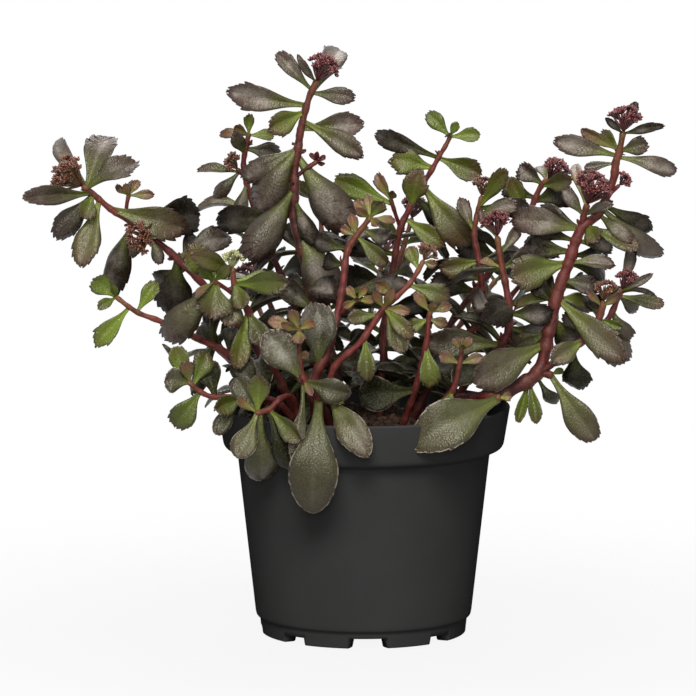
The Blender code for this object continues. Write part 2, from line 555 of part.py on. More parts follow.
def make_notch_cutter(index, around, width, cutters, material):
    """A wedge with sloping ends that opens the foot ring."""
    bm = bmesh.new()
    bmesh.ops.create_cube(bm, size=1.0)
    for vert in bm.verts:
        low = vert.co.z < 0
        vert.co.x *= width if low else width * 0.5
        vert.co.y = vert.co.y * 4 * FOOT_WALL + FOOT_RADIUS - FOOT_WALL / 2
        vert.co.z = -1.0 if low else NOTCH_HEIGHT
    turn = around - math.pi / 2
    for vert in bm.verts:
        x, y = vert.co.x, vert.co.y
        vert.co.x = x * math.cos(turn) - y * math.sin(turn)
        vert.co.y = x * math.sin(turn) + y * math.cos(turn)
    return object_from(f"notch_cutter_{index}", bm, cutters, material)


# --- The soil --------------------------------------------------------------------------------------


def soil_height(x, y):
    """The soil's surface: a low crown with lumps."""
    reach = math.hypot(x, y) / RIM_RADIUS
    lumps = math.sin(0.31 * x + 1.1) * math.sin(0.27 * y + 0.4) + 0.6 * math.sin(0.53 * x - 0.47 * y)
    return SOIL_LEVEL + SOIL_CROWN * (1 - reach * reach) + SOIL_BUMP * lumps


def make_soil(collection, cutters, stems):
    band_foot = POT_HEIGHT - RIM_BAND
    step = band_foot - WALL_DROP
    shoulder = band_foot + BAND_INNER_RISE
    edge = SOIL_LEVEL - 1.0
    profile = [
        (0.0, SOIL_LEVEL),
        (18.0, SOIL_LEVEL),
        (38.0, SOIL_LEVEL),
        (band_inner_radius(edge) - GAP, edge),
        (band_inner_radius(shoulder) - GAP, shoulder),
        (inner_radius(step - 2.0) - GAP, step - 2.0),
        (BODY_FOOT_RADIUS - WALL - GAP, 2 * FOOT_HEIGHT),
        *floor_profile(GAP),
    ]
    bm = bmesh.new()
    corners = [bm.verts.new((radius, 0.0, height)) for radius, height in profile]
    edges = [bm.edges.new(pair) for pair in zip(corners, corners[1:])]
    bmesh.ops.spin(
        bm, geom=corners + edges, cent=(0, 0, 0), axis=(0, 0, 1), angle=math.tau, steps=POT_SIDES
    )
    bmesh.ops.remove_doubles(bm, verts=bm.verts, dist=0.01)
    bmesh.ops.recalc_face_normals(bm, faces=bm.faces)
    for vert in bm.verts:
        if vert.co.z > SOIL_LEVEL - 0.5:
            vert.co.z = soil_height(vert.co.x, vert.co.y)
    brown = plain_material("potting_soil", SOIL_BROWN, 0.95)
    soil = object_from("potting_soil", bm, collection, brown)
    for name, stem in stems.items():
        cut(soil, make_hole_cutter("planting_hole_" + name, stem, cutters, brown))


def make_hole_cutter(name, stem, cutters, material):
    """A six-sided hole that follows a stem's foot with a gap all round."""
    foot, above = (Vector(place) for place, _ in stem[:2])
    lean = (above - foot).normalized()
    radius = (stem[0][1] + GAP) / math.cos(math.pi / 6)
    bm = bmesh.new()
    bmesh.ops.create_cone(
        bm, cap_ends=True, segments=6, radius1=radius, radius2=radius * 1.3, depth=HOLE_LENGTH
    )
    bmesh.ops.rotate(bm, verts=bm.verts, matrix=lean.to_track_quat("Z", "Y").to_matrix())
    bmesh.ops.translate(bm, verts=bm.verts, vec=foot + lean * (HOLE_LENGTH / 2 - GAP))
    return object_from(name, bm, cutters, material)


# --- The plant's shapes ----------------------------------------------------------------------------


def point_on(points, at):
    """A place on the smooth curve through the points, with the direction there."""
    last = len(points) - 1
    at = min(max(at, 0.0), last)
    first = min(int(at), last - 1)
    share = at - first
    knots = [Vector(points[min(max(first + step, 0), last)]) for step in (-1, 0, 1, 2)]
    before, here, after, beyond = knots
    leave = (after - before) / 2
    arrive = (beyond - here) / 2
    rise = here - after
    cube = 2 * rise + leave + arrive
    square = -3 * rise - 2 * leave - arrive
    place = here + share * (leave + share * (square + share * cube))
    direction = leave + share * (2 * square + 3 * share * cube)
    return place, direction.normalized()


def half_width(share):
    """The outline of a spoon-shaped leaf: its half width at this share of its length."""
    if share < WIDEST:
        rise = share / WIDEST
        return STALK_SHARE + (1 - STALK_SHARE) * rise * rise * (3 - 2 * rise)
    fall = (share - WIDEST) / (1 - WIDEST)
    return math.sqrt(max(0.0, 1 - fall * fall))


def blade_from_row(points, leaf):
    """Where a leaf of the tables lies: its upper face turned from the front towards up."""
    base, along = point_on(points, leaf.at)
    if leaf.at > len(points) - 1.05:
        base -= along * TIP_BACK
    reach = Vector((leaf.dx, leaf.dy, leaf.dz))
    axis = reach.normalized()
    front = Vector((0, -1, 0))
    facing = (front - axis * front.dot(axis)).normalized()
    upward = axis.cross(facing)
    if upward.dot(Vector((0.35, 0, 1))) < 0:
        upward = -upward
    turn = math.radians(leaf.turn)
    normal = facing * math.cos(turn) + upward * math.sin(turn)
    arch = ARCH * reach.length * (leaf.age - 0.3) if leaf.arch is None else leaf.arch
    return Blade(base, reach, normal, leaf.width, leaf.age, arch)


def blade_sections(blade, puff):
    """Sections across a leaf: left edge, midrib above, right edge, midrib below.

    A narrow leaf has no fold along its upper face, so its sections have three corners.
    """
    axis = blade.reach.normalized()
    side = axis.cross(blade.normal).normalized()
    up = side.cross(axis)
    thick = LEAF_THICKNESS * (0.7 + 0.6 * blade.age)
    keeled = blade.width < BROAD_WIDTH
    sections = []
    for share in SMALL_STATIONS if blade.width < SMALL_WIDTH else STATIONS:
        half = blade.width / 2 * half_width(share) + puff
        middle = blade.base + blade.reach * share + up * (4 * share * (1 - share) * blade.arch)
        edge_out = side * (half * math.cos(FOLD))
        edge_up = up * (half * math.sin(FOLD) * (0.5 if keeled else 1.0))
        section = [
            middle - edge_out + edge_up, middle + up * puff, middle + edge_out + edge_up,
            middle - up * (thick + puff),
        ]
        if keeled:
            section.pop(1)
        sections.append(section)
    return sections


def leaf_solid(blade, start=0.0, puff=0.0):
    """A leaf as a closed solid, from a share of its length before its second section, grown by puff."""
    sections = blade_sections(blade, puff)
    second = (SMALL_STATIONS if blade.width < SMALL_WIDTH else STATIONS)[1]
    sections[0] = [near.lerp(far, start / second) for near, far in zip(sections[0], sections[1])]
    beyond = blade.reach.normalized() * puff
    sections[-1] = [corner + beyond for corner in sections[-1]]
    return loft(sections)


def loft(sections):
    """Corners and faces of the closed solid through sections of equal count."""
    count = len(sections[0])
    corners = [corner for section in sections for corner in section]
    faces = []
    for row in range(len(sections) - 1):
        for column in range(count):
            here = row * count + column
            side = row * count + (column + 1) % count
            faces.append((here, side, side + count, here + count))
    faces.append(tuple(reversed(range(count))))
    faces.append(tuple(range(len(corners) - count, len(corners))))
    return corners, faces


# --- Room for every leaf ---------------------------------------------------------------------------


class Room:
    """What already stands in the way, each piece with its shoot's name and its box."""

    def __init__(self):
        self.pieces = []

    def add(self, owner, corners, faces):
        low = [min(c[i] for c in corners) for i in range(3)]
        high = [max(c[i] for c in corners) for i in range(3)]
        self.pieces.append((owner, low, high, BVHTree.FromPolygons(corners, faces)))

    def is_free(self, owner, whole, outer):
        """Whether a leaf clears the other shoots, and its outer part its own shoot."""
        for corners, faces, same in ((*whole, False), (*outer, True)):
            low = [min(c[i] for c in corners) for i in range(3)]
            high = [max(c[i] for c in corners) for i in range(3)]
            tree = BVHTree.FromPolygons(corners, faces)
            for other, other_low, other_high, other_tree in self.pieces:
                if (other == owner) != same:
                    continue
                if any(low[i] > other_high[i] or high[i] < other_low[i] for i in range(3)):
                    continue
                if tree.overlap(other_tree):
                    return False
        return True


SHIFTS = (0, -3, 3, -6, 6, -9, 9, -12, 12)
TURNS = (0, 18, -18, 36, -36)
SIZES = (1.0, 0.88, 0.76, 0.62)


def turned_about(vector, axis, degrees):
    angle = math.radians(degrees)
    return (
        vector * math.cos(angle)
        + axis.cross(vector) * math.sin(angle)
        + axis * axis.dot(vector) * (1 - math.cos(angle))
    )


def dips_into_pot(corners):
    """Whether any corner is inside the pot and as low as the soil."""
    soil_top = SOIL_LEVEL + SOIL_CROWN + SOIL_BUMP
    return any(c.z < soil_top and math.hypot(c.x, c.y) < RIM_RADIUS for c in corners)


def settle(room, owner, blade):
    """The first small change of depth, turn or size that gives the leaf room, or None."""
    for size in SIZES:
        for turn in TURNS:
            for shift in SHIFTS:
                reach = (blade.reach + Vector((0, shift, 0))) * size
                axis = reach.normalized()
                normal = (blade.normal - axis * axis.dot(blade.normal)).normalized()
                normal = turned_about(normal, axis, turn)
                tried = blade._replace(
                    reach=reach, normal=normal, width=blade.width * size, arch=blade.arch * size
                )
                whole = leaf_solid(tried, 0.0, GAP)
                outer = leaf_solid(tried, BLADE_START, GAP)
                if not dips_into_pot(whole[0]) and room.is_free(owner, whole, outer):
                    room.add(owner, *whole)
                    return tried
    return None


# --- Shoots ----------------------------------------------------------------------------------------


def crossed_pair(points, at, pair, length, age, lift):
    """Two opposite leaves, crosswise to the pair below, facing up and away from the pot's axis."""
    base, along = point_on(points, at)
    level = Vector((base.x, base.y, 0)).normalized()
    aside = Vector((-level.y, level.x, 0))
    across = aside if pair % 2 else level
    across = (across - along * along.dot(across)).normalized()
    facing = Vector((0, 0, 1)) + level * FACE_OUT
    blades = []
    for way in (-1, 1):
        axis = (across * way + Vector((0, 0, lift))).normalized()
        normal = (facing - axis * axis.dot(facing)).normalized()
        arch = ARCH * length * (age - 0.3)
        blades.append(Blade(base, axis * length, normal, length * LEAF_ASPECT, age, arch))
    return blades


def back_shoot(angle, reach, top, head, name):
    """A shoot that leans away from the front, with crossed pairs of leaves."""
    lean = Vector((math.cos(math.radians(angle)), math.sin(math.radians(angle)), 0))
    aside = Vector((-lean.y, lean.x, 0))
    foot = lean * BACK_ROOT_RADIUS + Vector((0, 0, ROOT_HEIGHT))
    tip = lean * reach + Vector((0, 0, top))
    over = lean * (reach * 0.62) + aside * 5 + Vector((0, 0, (ROOT_HEIGHT + top) / 2))
    points = [tuple(foot), tuple(foot.lerp(over, 0.5) + lean * 3), tuple(over), tuple(tip)]
    blades = []
    for pair in range(BACK_LEAF_PAIRS):
        share = pair / (BACK_LEAF_PAIRS - 1)
        at = 0.75 + (1.95 if head else 2.2) * share
        length = BACK_LEAF_LENGTH * (1.05 - 0.5 * share)
        blades += crossed_pair(points, at, pair, length, 1.0 - 0.7 * share, 0.1 + 0.5 * share)
    flower = (name + "_flower_head", head) if head else None
    return points, (3.4, 1.9), blades, flower


def core_blades(points):
    """Old leaves in crossed pairs along the part of a branch that lies in the bushy core."""
    last = len(points) - 1
    blades = []
    walked = CORE_PAIR_STEP
    before = Vector(points[0])
    for step in range(1, 20 * last):
        at = step / 20
        place, _ = point_on(points, at)
        walked += (place - before).length
        before = place
        inside = math.hypot(place.x, place.y) < CORE_RADIUS and CORE_FOOT < place.z < CORE_TOP
        if inside and place.y > CORE_FRONT and walked >= CORE_PAIR_STEP:
            pair = len(blades) // 2
            blades += crossed_pair(points, at, pair, CORE_LEAF_LENGTH, 1.0, -0.1)
            walked = 0.0
    return blades


def plan_shoots():
    """Every shoot as a list of (points, thickness, blades, head)."""
    plan = {}
    for name, branches in SHOOTS.items():
        plan[name] = []
        for branch in branches:
            blades = [blade_from_row(branch.points, Leaf(*row)) for row in branch.leaves]
            plan[name].append((branch.points, branch.thick, blades, branch.head))
    for name, (angle, reach, top, head) in BACK_SHOOTS.items():
        plan[name] = [back_shoot(angle, reach, top, head, name)]
    return plan


def stem_line(points, thick):
    """Places and radii down a branch, at each of its points and at most about RING_STEP apart."""
    last = len(points) - 1
    stops = [0.0]
    for first in range(last):
        span = (Vector(points[first + 1]) - Vector(points[first])).length
        parts = max(1, round(span / RING_STEP))
        stops += [first + (part + 1) / parts for part in range(parts)]
    foot, tip = thick
    return [(point_on(points, at)[0], (foot + (tip - foot) * at / last) / 2) for at in stops]


def stem_tube(line):
    """A tapered tube along the line with closed ends, as corners and faces."""
    curve = bpy.data.curves.new("stem", "CURVE")
    curve.dimensions = "3D"
    curve.bevel_depth = 1.0
    curve.bevel_resolution = STEM_BEVEL
    curve.use_fill_caps = True
    spline = curve.splines.new("POLY")
    spline.points.add(len(line) - 1)
    for point, (place, radius) in zip(spline.points, line):
        point.co = (*place, 1.0)
        point.radius = radius
    guide = bpy.data.objects.new("stem", curve)
    bpy.context.scene.collection.objects.link(guide)
    mesh = bpy.data.meshes.new_from_object(guide.evaluated_get(bpy.context.evaluated_depsgraph_get()))
    bpy.data.objects.remove(guide)
    bm = bmesh.new()
    bm.from_mesh(mesh)
    bmesh.ops.remove_doubles(bm, verts=bm.verts, dist=0.001)
    return corners_and_faces(bm)


def corners_and_faces(bm):
    corners = [vert.co.copy() for vert in bm.verts]
    faces = [tuple(vert.index for vert in face.verts) for face in bm.faces]
    bm.free()
    return corners, faces


def head_place(points, radius):
    tip, along = point_on(points, len(points) - 1)
    return tip + along * (radius + GAP), along


def settle_leaves(plan, tubes):
    """Gives each shoot the leaves that have room, the tables' leaves first."""
    room = Room()
    room.add("nursery_pot", *pot_guard())
    for name, branches in plan.items():
        for (points, _, _, head), tube in zip(branches, tubes[name]):
            room.add(name, *tube)
            if head:
                place, _ = head_place(points, head[1])
                room.add(head[0], *ball(place, head[1]))
    settled = {}
    for name, branches in plan.items():
        settled[name] = [
            [settle(room, name, blade) for blade in blades] for _, _, blades, _ in branches
        ]
    for name in SHOOTS:
        settled[name][0] += [settle(room, name, blade) for blade in core_blades(plan[name][0][0])]
    return settled


def ball(centre, radius):
    bm = bmesh.new()
    bmesh.ops.create_icosphere(bm, subdivisions=2, radius=radius)
    bmesh.ops.translate(bm, verts=bm.verts, vec=centre)
    return corners_and_faces(bm)


def pot_guard():
    """The pot's rim and wall as plain rings, a little proud, for the leaves to stay clear of."""
    rims = []
    inside = RIM_RADIUS - RIM_LIP - GUARD
    for radius, height in (
        (inside, SOIL_LEVEL + SOIL_CROWN), (inside, POT_HEIGHT + GUARD),
        (RIM_RADIUS + GUARD, POT_HEIGHT + GUARD), (RIM_FOOT_RADIUS + GUARD, POT_HEIGHT - RIM_BAND),
        (BODY_TOP_RADIUS + GUARD, POT_HEIGHT - RIM_BAND - WALL_DROP), (BODY_FOOT_RADIUS + GUARD, 0.0),
    ):
        rims.append(
            [Vector((radius * math.cos(a), radius * math.sin(a), height))
             for a in (math.tau * side / POT_SIDES for side in range(POT_SIDES))]
        )
    return loft(rims)


def mesh_object(name, corners, faces, collection, material):
    bm = bmesh.new()
    verts = [bm.verts.new(corner) for corner in corners]
    for face in faces:
        bm.faces.new([verts[i] for i in face])
    bmesh.ops.recalc_face_normals(bm, faces=bm.faces)
    return object_from(name, bm, collection, material)


def make_shoot(name, tubes, leaves, collection, cutters, material):
    """One shoot as one solid: its branches and its leaves, united."""
    parts = new_collection("pieces_of_" + name)
    bpy.context.scene.collection.children.unlink(parts)
    cutters.children.link(parts)
    stem = mesh_object(name, *tubes[0], collection, material)
    for number, tube in enumerate(tubes[1:], start=1):
        hide_guide(mesh_object(f"{name}_branch_{number}", *tube, parts, material))
    for number, blades in enumerate(leaves):
        for place, blade in enumerate(blades):
            if blade is not None:
                leaf = mesh_object(f"{name}_leaf_{number}_{place}", *leaf_solid(blade), parts, material)
                hide_guide(leaf)
    union = stem.modifiers.new("grown_together", "BOOLEAN")
    union.operation = "UNION"
    union.operand_type = "COLLECTION"
    union.collection = parts


def make_head(name, centre, along, radius, collection, material):
    """A flower head as a burr: a ball whose corners stand out as points."""
    bm = bmesh.new()
    bmesh.ops.create_icosphere(bm, subdivisions=2, radius=radius)
    points_out = [vert for vert in bm.verts if len(vert.link_edges) == 5]
    for vert in bm.verts:
        vert.co *= 1.0 if vert in points_out else 0.8
    bmesh.ops.rotate(bm, verts=bm.verts, matrix=along.to_track_quat("Z", "Y").to_matrix())
    bmesh.ops.translate(bm, verts=bm.verts, vec=centre)
    return object_from(name, bm, collection, material)


def main():
    start_afresh()
    collection = new_collection("potted_sedum")
    cutters = new_collection("cutters")
    plan = plan_shoots()
    lines = {
        name: [stem_line(points, thick) for points, thick, _, _ in branches]
        for name, branches in plan.items()
    }
    tubes = {name: [stem_tube(line) for line in of_shoot] for name, of_shoot in lines.items()}
    leaves = settle_leaves(plan, tubes)
    make_pot(collection, cutters)
    make_soil(collection, cutters, {name: of_shoot[0] for name, of_shoot in lines.items()})
    leaf_colour = plain_material("leaf_and_stem", LEAF_BRONZE, 0.45)
    red = plain_material("flower_head", HEAD_RED, 0.7)
    cream = plain_material("cream_flower_head", HEAD_CREAM, 0.7)
    for name, branches in plan.items():
        make_shoot(name, tubes[name], leaves[name], collection, cutters, leaf_colour)
        for points, _, _, head in branches:
            if head:
                centre, along = head_place(points, head[1])
                material = cream if head[0].startswith("cream") else red
                make_head(head[0], centre, along, head[1], collection, material)
    return plan, leaves


if __name__ == "__main__":
    main()
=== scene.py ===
# %% [markdown]
# # A potted stonecrop
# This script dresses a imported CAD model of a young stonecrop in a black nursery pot. The CAD model
# holds the true places and sizes: a pot, the soil, and one solid for each shoot and flower head.
# Here each of them gets its real surface: toothed fleshy leaves, red stems with leaf scars, clusters
# of buds, crumbly soil and moulded plastic. We start by loading the CAD model, which stays fixed.

# %% Load the frame
import math
from collections import namedtuple

import bmesh
import bpy
import numpy as np
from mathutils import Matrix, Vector, noise
from mathutils.bvhtree import BVHTree


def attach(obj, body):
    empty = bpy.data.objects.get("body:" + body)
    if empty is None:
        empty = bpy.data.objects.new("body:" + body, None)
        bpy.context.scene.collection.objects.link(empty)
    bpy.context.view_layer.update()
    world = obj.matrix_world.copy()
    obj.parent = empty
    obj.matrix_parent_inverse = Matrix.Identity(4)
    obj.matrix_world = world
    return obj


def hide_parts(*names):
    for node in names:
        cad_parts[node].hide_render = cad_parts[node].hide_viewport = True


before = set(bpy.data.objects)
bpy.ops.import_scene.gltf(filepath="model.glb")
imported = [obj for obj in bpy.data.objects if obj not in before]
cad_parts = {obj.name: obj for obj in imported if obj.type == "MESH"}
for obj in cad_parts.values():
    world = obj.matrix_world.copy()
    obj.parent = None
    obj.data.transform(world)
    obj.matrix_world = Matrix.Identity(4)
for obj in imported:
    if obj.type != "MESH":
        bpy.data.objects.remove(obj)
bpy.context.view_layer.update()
MM = 0.001
print("CAD nodes:", len(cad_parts))


def linked(name, data):
    """A new object in the scene, with a mesh, a curve, a camera or a lamp as its data."""
    made = bpy.data.objects.new(name, data)
    bpy.context.scene.collection.objects.link(made)
    return made



# %% [markdown]
# ## The stage
# A product shot on white needs very little: a pale floor that takes the soft shadow, and a white
# world. Near the pot the floor is an ordinary matt surface. Further out it fades into plain white
# for the camera's rays, so that no horizon shows.

# %% Camera
VIEW_HEIGHT = 0.1173
VIEW_ASIDE = -0.0064
VIEW_DISTANCE = 2.5
VIEW_ELEVATION = math.radians(8)
LENS = 316.0

camera_data = bpy.data.cameras.new("camera")
camera_data.lens = LENS
camera_data.sensor_width = 36.0
camera = linked("camera", camera_data)
aim = Vector((VIEW_ASIDE, 0.0, VIEW_HEIGHT))
back = Vector((0.0, -math.cos(VIEW_ELEVATION), math.sin(VIEW_ELEVATION)))
camera.location = aim + back * VIEW_DISTANCE
camera.rotation_euler = (-back).to_track_quat("-Z", "Y").to_euler()
bpy.context.scene.camera = camera
bpy.context.scene.view_settings.view_transform = "Standard"

# %% Shader helpers


def new_material(name, roughness):
    """A material with a Principled shader, with its tree and its shader."""
    material = bpy.data.materials.new(name)
    material.use_nodes = True
    tree = material.node_tree
    shader = tree.nodes["Principled BSDF"]
    shader.inputs["Roughness"].default_value = roughness
    return material, tree, shader


def add_node(tree, kind, values=None, **settings):
    """A node with its settings, and its input sockets' values by name or number."""
    node = tree.nodes.new(kind)
    for name, value in settings.items():
        setattr(node, name, value)
    for socket, value in (values or {}).items():
        node.inputs[socket].default_value = value
    return node


def join(tree, source, output, target, socket):
    tree.links.new(source.outputs[output], target.inputs[socket])


def smooth_between(tree, source, output, low, high, least=0.0):
    """A value that rises smoothly from the least to 1 as the source goes from low to high."""
    given = {"From Min": low, "From Max": high, "To Min": least}
    node = add_node(tree, "ShaderNodeMapRange", given, interpolation_type="SMOOTHSTEP")
    join(tree, source, output, node, "Value")
    return node, "Result"


# %% Floor and world
FLOOR_SIZE = 6.0
SHADOW_REACH = (0.05, 0.34)
NEAR_WHITE = 0.9
FLOOR_COLOUR = (0.2, 0.2, 0.2)
WORLD_STRENGTH = 0.08


def white_rays(tree, rays, first, *others):
    """One for every kind of ray that should find plain white, and nought for the rest."""
    found, output = rays, first
    for other in others:
        either = add_node(tree, "ShaderNodeMath", operation="MAXIMUM")
        join(tree, found, output, either, 0)
        join(tree, rays, other, either, 1)
        found, output = either, "Value"
    return found, output


floor_mesh = bpy.data.meshes.new("floor")
bm = bmesh.new()
bmesh.ops.create_grid(bm, x_segments=2, y_segments=2, size=FLOOR_SIZE / 2)
bm.to_mesh(floor_mesh)
bm.free()
floor = linked("floor", floor_mesh)

floor_material, tree, shader = new_material("pale_floor", 0.9)
shader.inputs["Base Color"].default_value = (*FLOOR_COLOUR, 1.0)
place = add_node(tree, "ShaderNodeNewGeometry")
distance = add_node(tree, "ShaderNodeVectorMath", operation="LENGTH")
join(tree, place, "Position", distance, 0)
far = smooth_between(tree, distance, "Value", *SHADOW_REACH, NEAR_WHITE)
rays = add_node(tree, "ShaderNodeLightPath")
seen = white_rays(tree, rays, "Is Camera Ray", "Is Glossy Ray", "Is Transmission Ray")
white_share = add_node(tree, "ShaderNodeMath", operation="MULTIPLY")
join(tree, *far, white_share, 0)
join(tree, *seen, white_share, 1)
white = add_node(tree, "ShaderNodeEmission", {"Strength": 1.0})
blend = add_node(tree, "ShaderNodeMixShader")
join(tree, white_share, "Value", blend, "Fac")
join(tree, shader, "BSDF", blend, 1)
join(tree, white, "Emission", blend, 2)
join(tree, blend, "Shader", tree.nodes["Material Output"], "Surface")
floor_mesh.materials.append(floor_material)

world = bpy.data.worlds.new("studio")
bpy.context.scene.world = world
world.use_nodes = True
tree = world.node_tree
sky = tree.nodes["Background"]
sky.inputs["Strength"].default_value = WORLD_STRENGTH
white_sky = add_node(tree, "ShaderNodeBackground", {"Color": (1, 1, 1, 1), "Strength": 1.0})
sky.inputs["Color"].default_value = (1, 1, 1, 1)
rays = add_node(tree, "ShaderNodeLightPath")
seen = white_rays(tree, rays, "Is Camera Ray", "Is Glossy Ray", "Is Transmission Ray")
pick = add_node(tree, "ShaderNodeMixShader")
join(tree, *seen, pick, "Fac")
join(tree, sky, "Background", pick, 1)
join(tree, white_sky, "Background", pick, 2)
join(tree, pick, "Shader", tree.nodes["World Output"], "Surface")

# %% Lights
LAMP_COLOUR = (1.0, 0.985, 0.955)


def soft_light(name, azimuth, elevation, distance, size, power):
    """A square area lamp that points at the plant. Azimuth 0 is the camera's side, positive to the right."""
    lamp_data = bpy.data.lights.new(name, "AREA")
    lamp_data.shape = "SQUARE"
    lamp_data.size = size
    lamp_data.energy = power
    lamp_data.color = LAMP_COLOUR
    lamp = linked(name, lamp_data)
    a, e = math.radians(azimuth), math.radians(elevation)
    way = Vector((math.sin(a) * math.cos(e), -math.cos(a) * math.cos(e), math.sin(e)))
    lamp.location = Vector((0, 0, VIEW_HEIGHT)) + way * distance
    lamp.rotation_euler = (-way).to_track_quat("-Z", "Y").to_euler()


soft_light("key", -4, 40, 1.6, 0.6, 19.0)
soft_light("front", -1, 12, 2.2, 0.6, 12.0)
soft_light("top", 0, 80, 1.3, 0.8, 6.0)
soft_light("behind", 180, 50, 2.0, 1.0, 20.0)
print("stage: floor, world and four soft lamps")

# %% [markdown]
# ## Where everything grows
# The CAD model joins each shoot's leaves in one solid, so this script needs to know each leaf's
# place by itself. It repeats the growing plan: tables of branches and leaves, a smooth curve through
# each branch's points, and a search for room that shifts or turns a leaf until it is free.

# %% The growing plan
POT_HEIGHT = 94.0
RIM_RADIUS = 60.0
RIM_FOOT_RADIUS = 57.5
RIM_BAND = 17.0
BODY_TOP_RADIUS = 51.8
BODY_FOOT_RADIUS = 44.4
FOOT_RADIUS = 42.0
FOOT_HEIGHT = 4.5
WALL = 1.6
RIM_LIP = 1.4
LIP_ROUND = 0.6
BAND_STEP = 2.4
BAND_INNER_RISE = 1.6
WALL_DROP = 2.0
FLOOR_THICKNESS = 1.8
PAD_RADIUS = 15.0
PAD_SLOPE = 1.6
DRAIN_HOLES = 4
DRAIN_RADIUS = 4.0
DRAIN_CIRCLE = 28.0
POT_SIDES = 32
NOTCHES = 8
NOTCH_TURN = math.radians(2.5)
NOTCH_HEIGHT = 4.2

GAP = 0.3
SOIL_LEVEL = 85.0
SOIL_CROWN = 3.0
SOIL_BUMP = 0.8
ROOT_HEIGHT = 79.0
WIDEST = 0.66
STALK_SHARE = 0.17
FOLD = math.radians(24)
ARCH = 0.15
STATIONS = (0.0, 0.4, 0.72, 0.965)
SMALL_STATIONS = (0.0, 0.56, 0.94)
BROAD_WIDTH = 13.2
SMALL_WIDTH = 10.2
BLADE_START = 0.34
TIP_BACK = 0.9
LEAF_THICKNESS = 1.1
STEM_BEVEL = 1
RING_STEP = 16.0
GUARD = 0.9

# A leaf grows at place `at` along its branch, counted in points, and reaches (dx, dy, dz) from there.
# `turn` is how far its upper face turns from facing the front towards facing up, in degrees, and
# `age` runs from 0, a young leaf, to 1, the oldest. All lengths in this plan are millimetres.
Leaf = namedtuple("Leaf", "at dx dy dz width turn age arch", defaults=(None,))
Branch = namedtuple("Branch", "points thick leaves head", defaults=(None,))
Blade = namedtuple("Blade", "base reach normal width age arch")

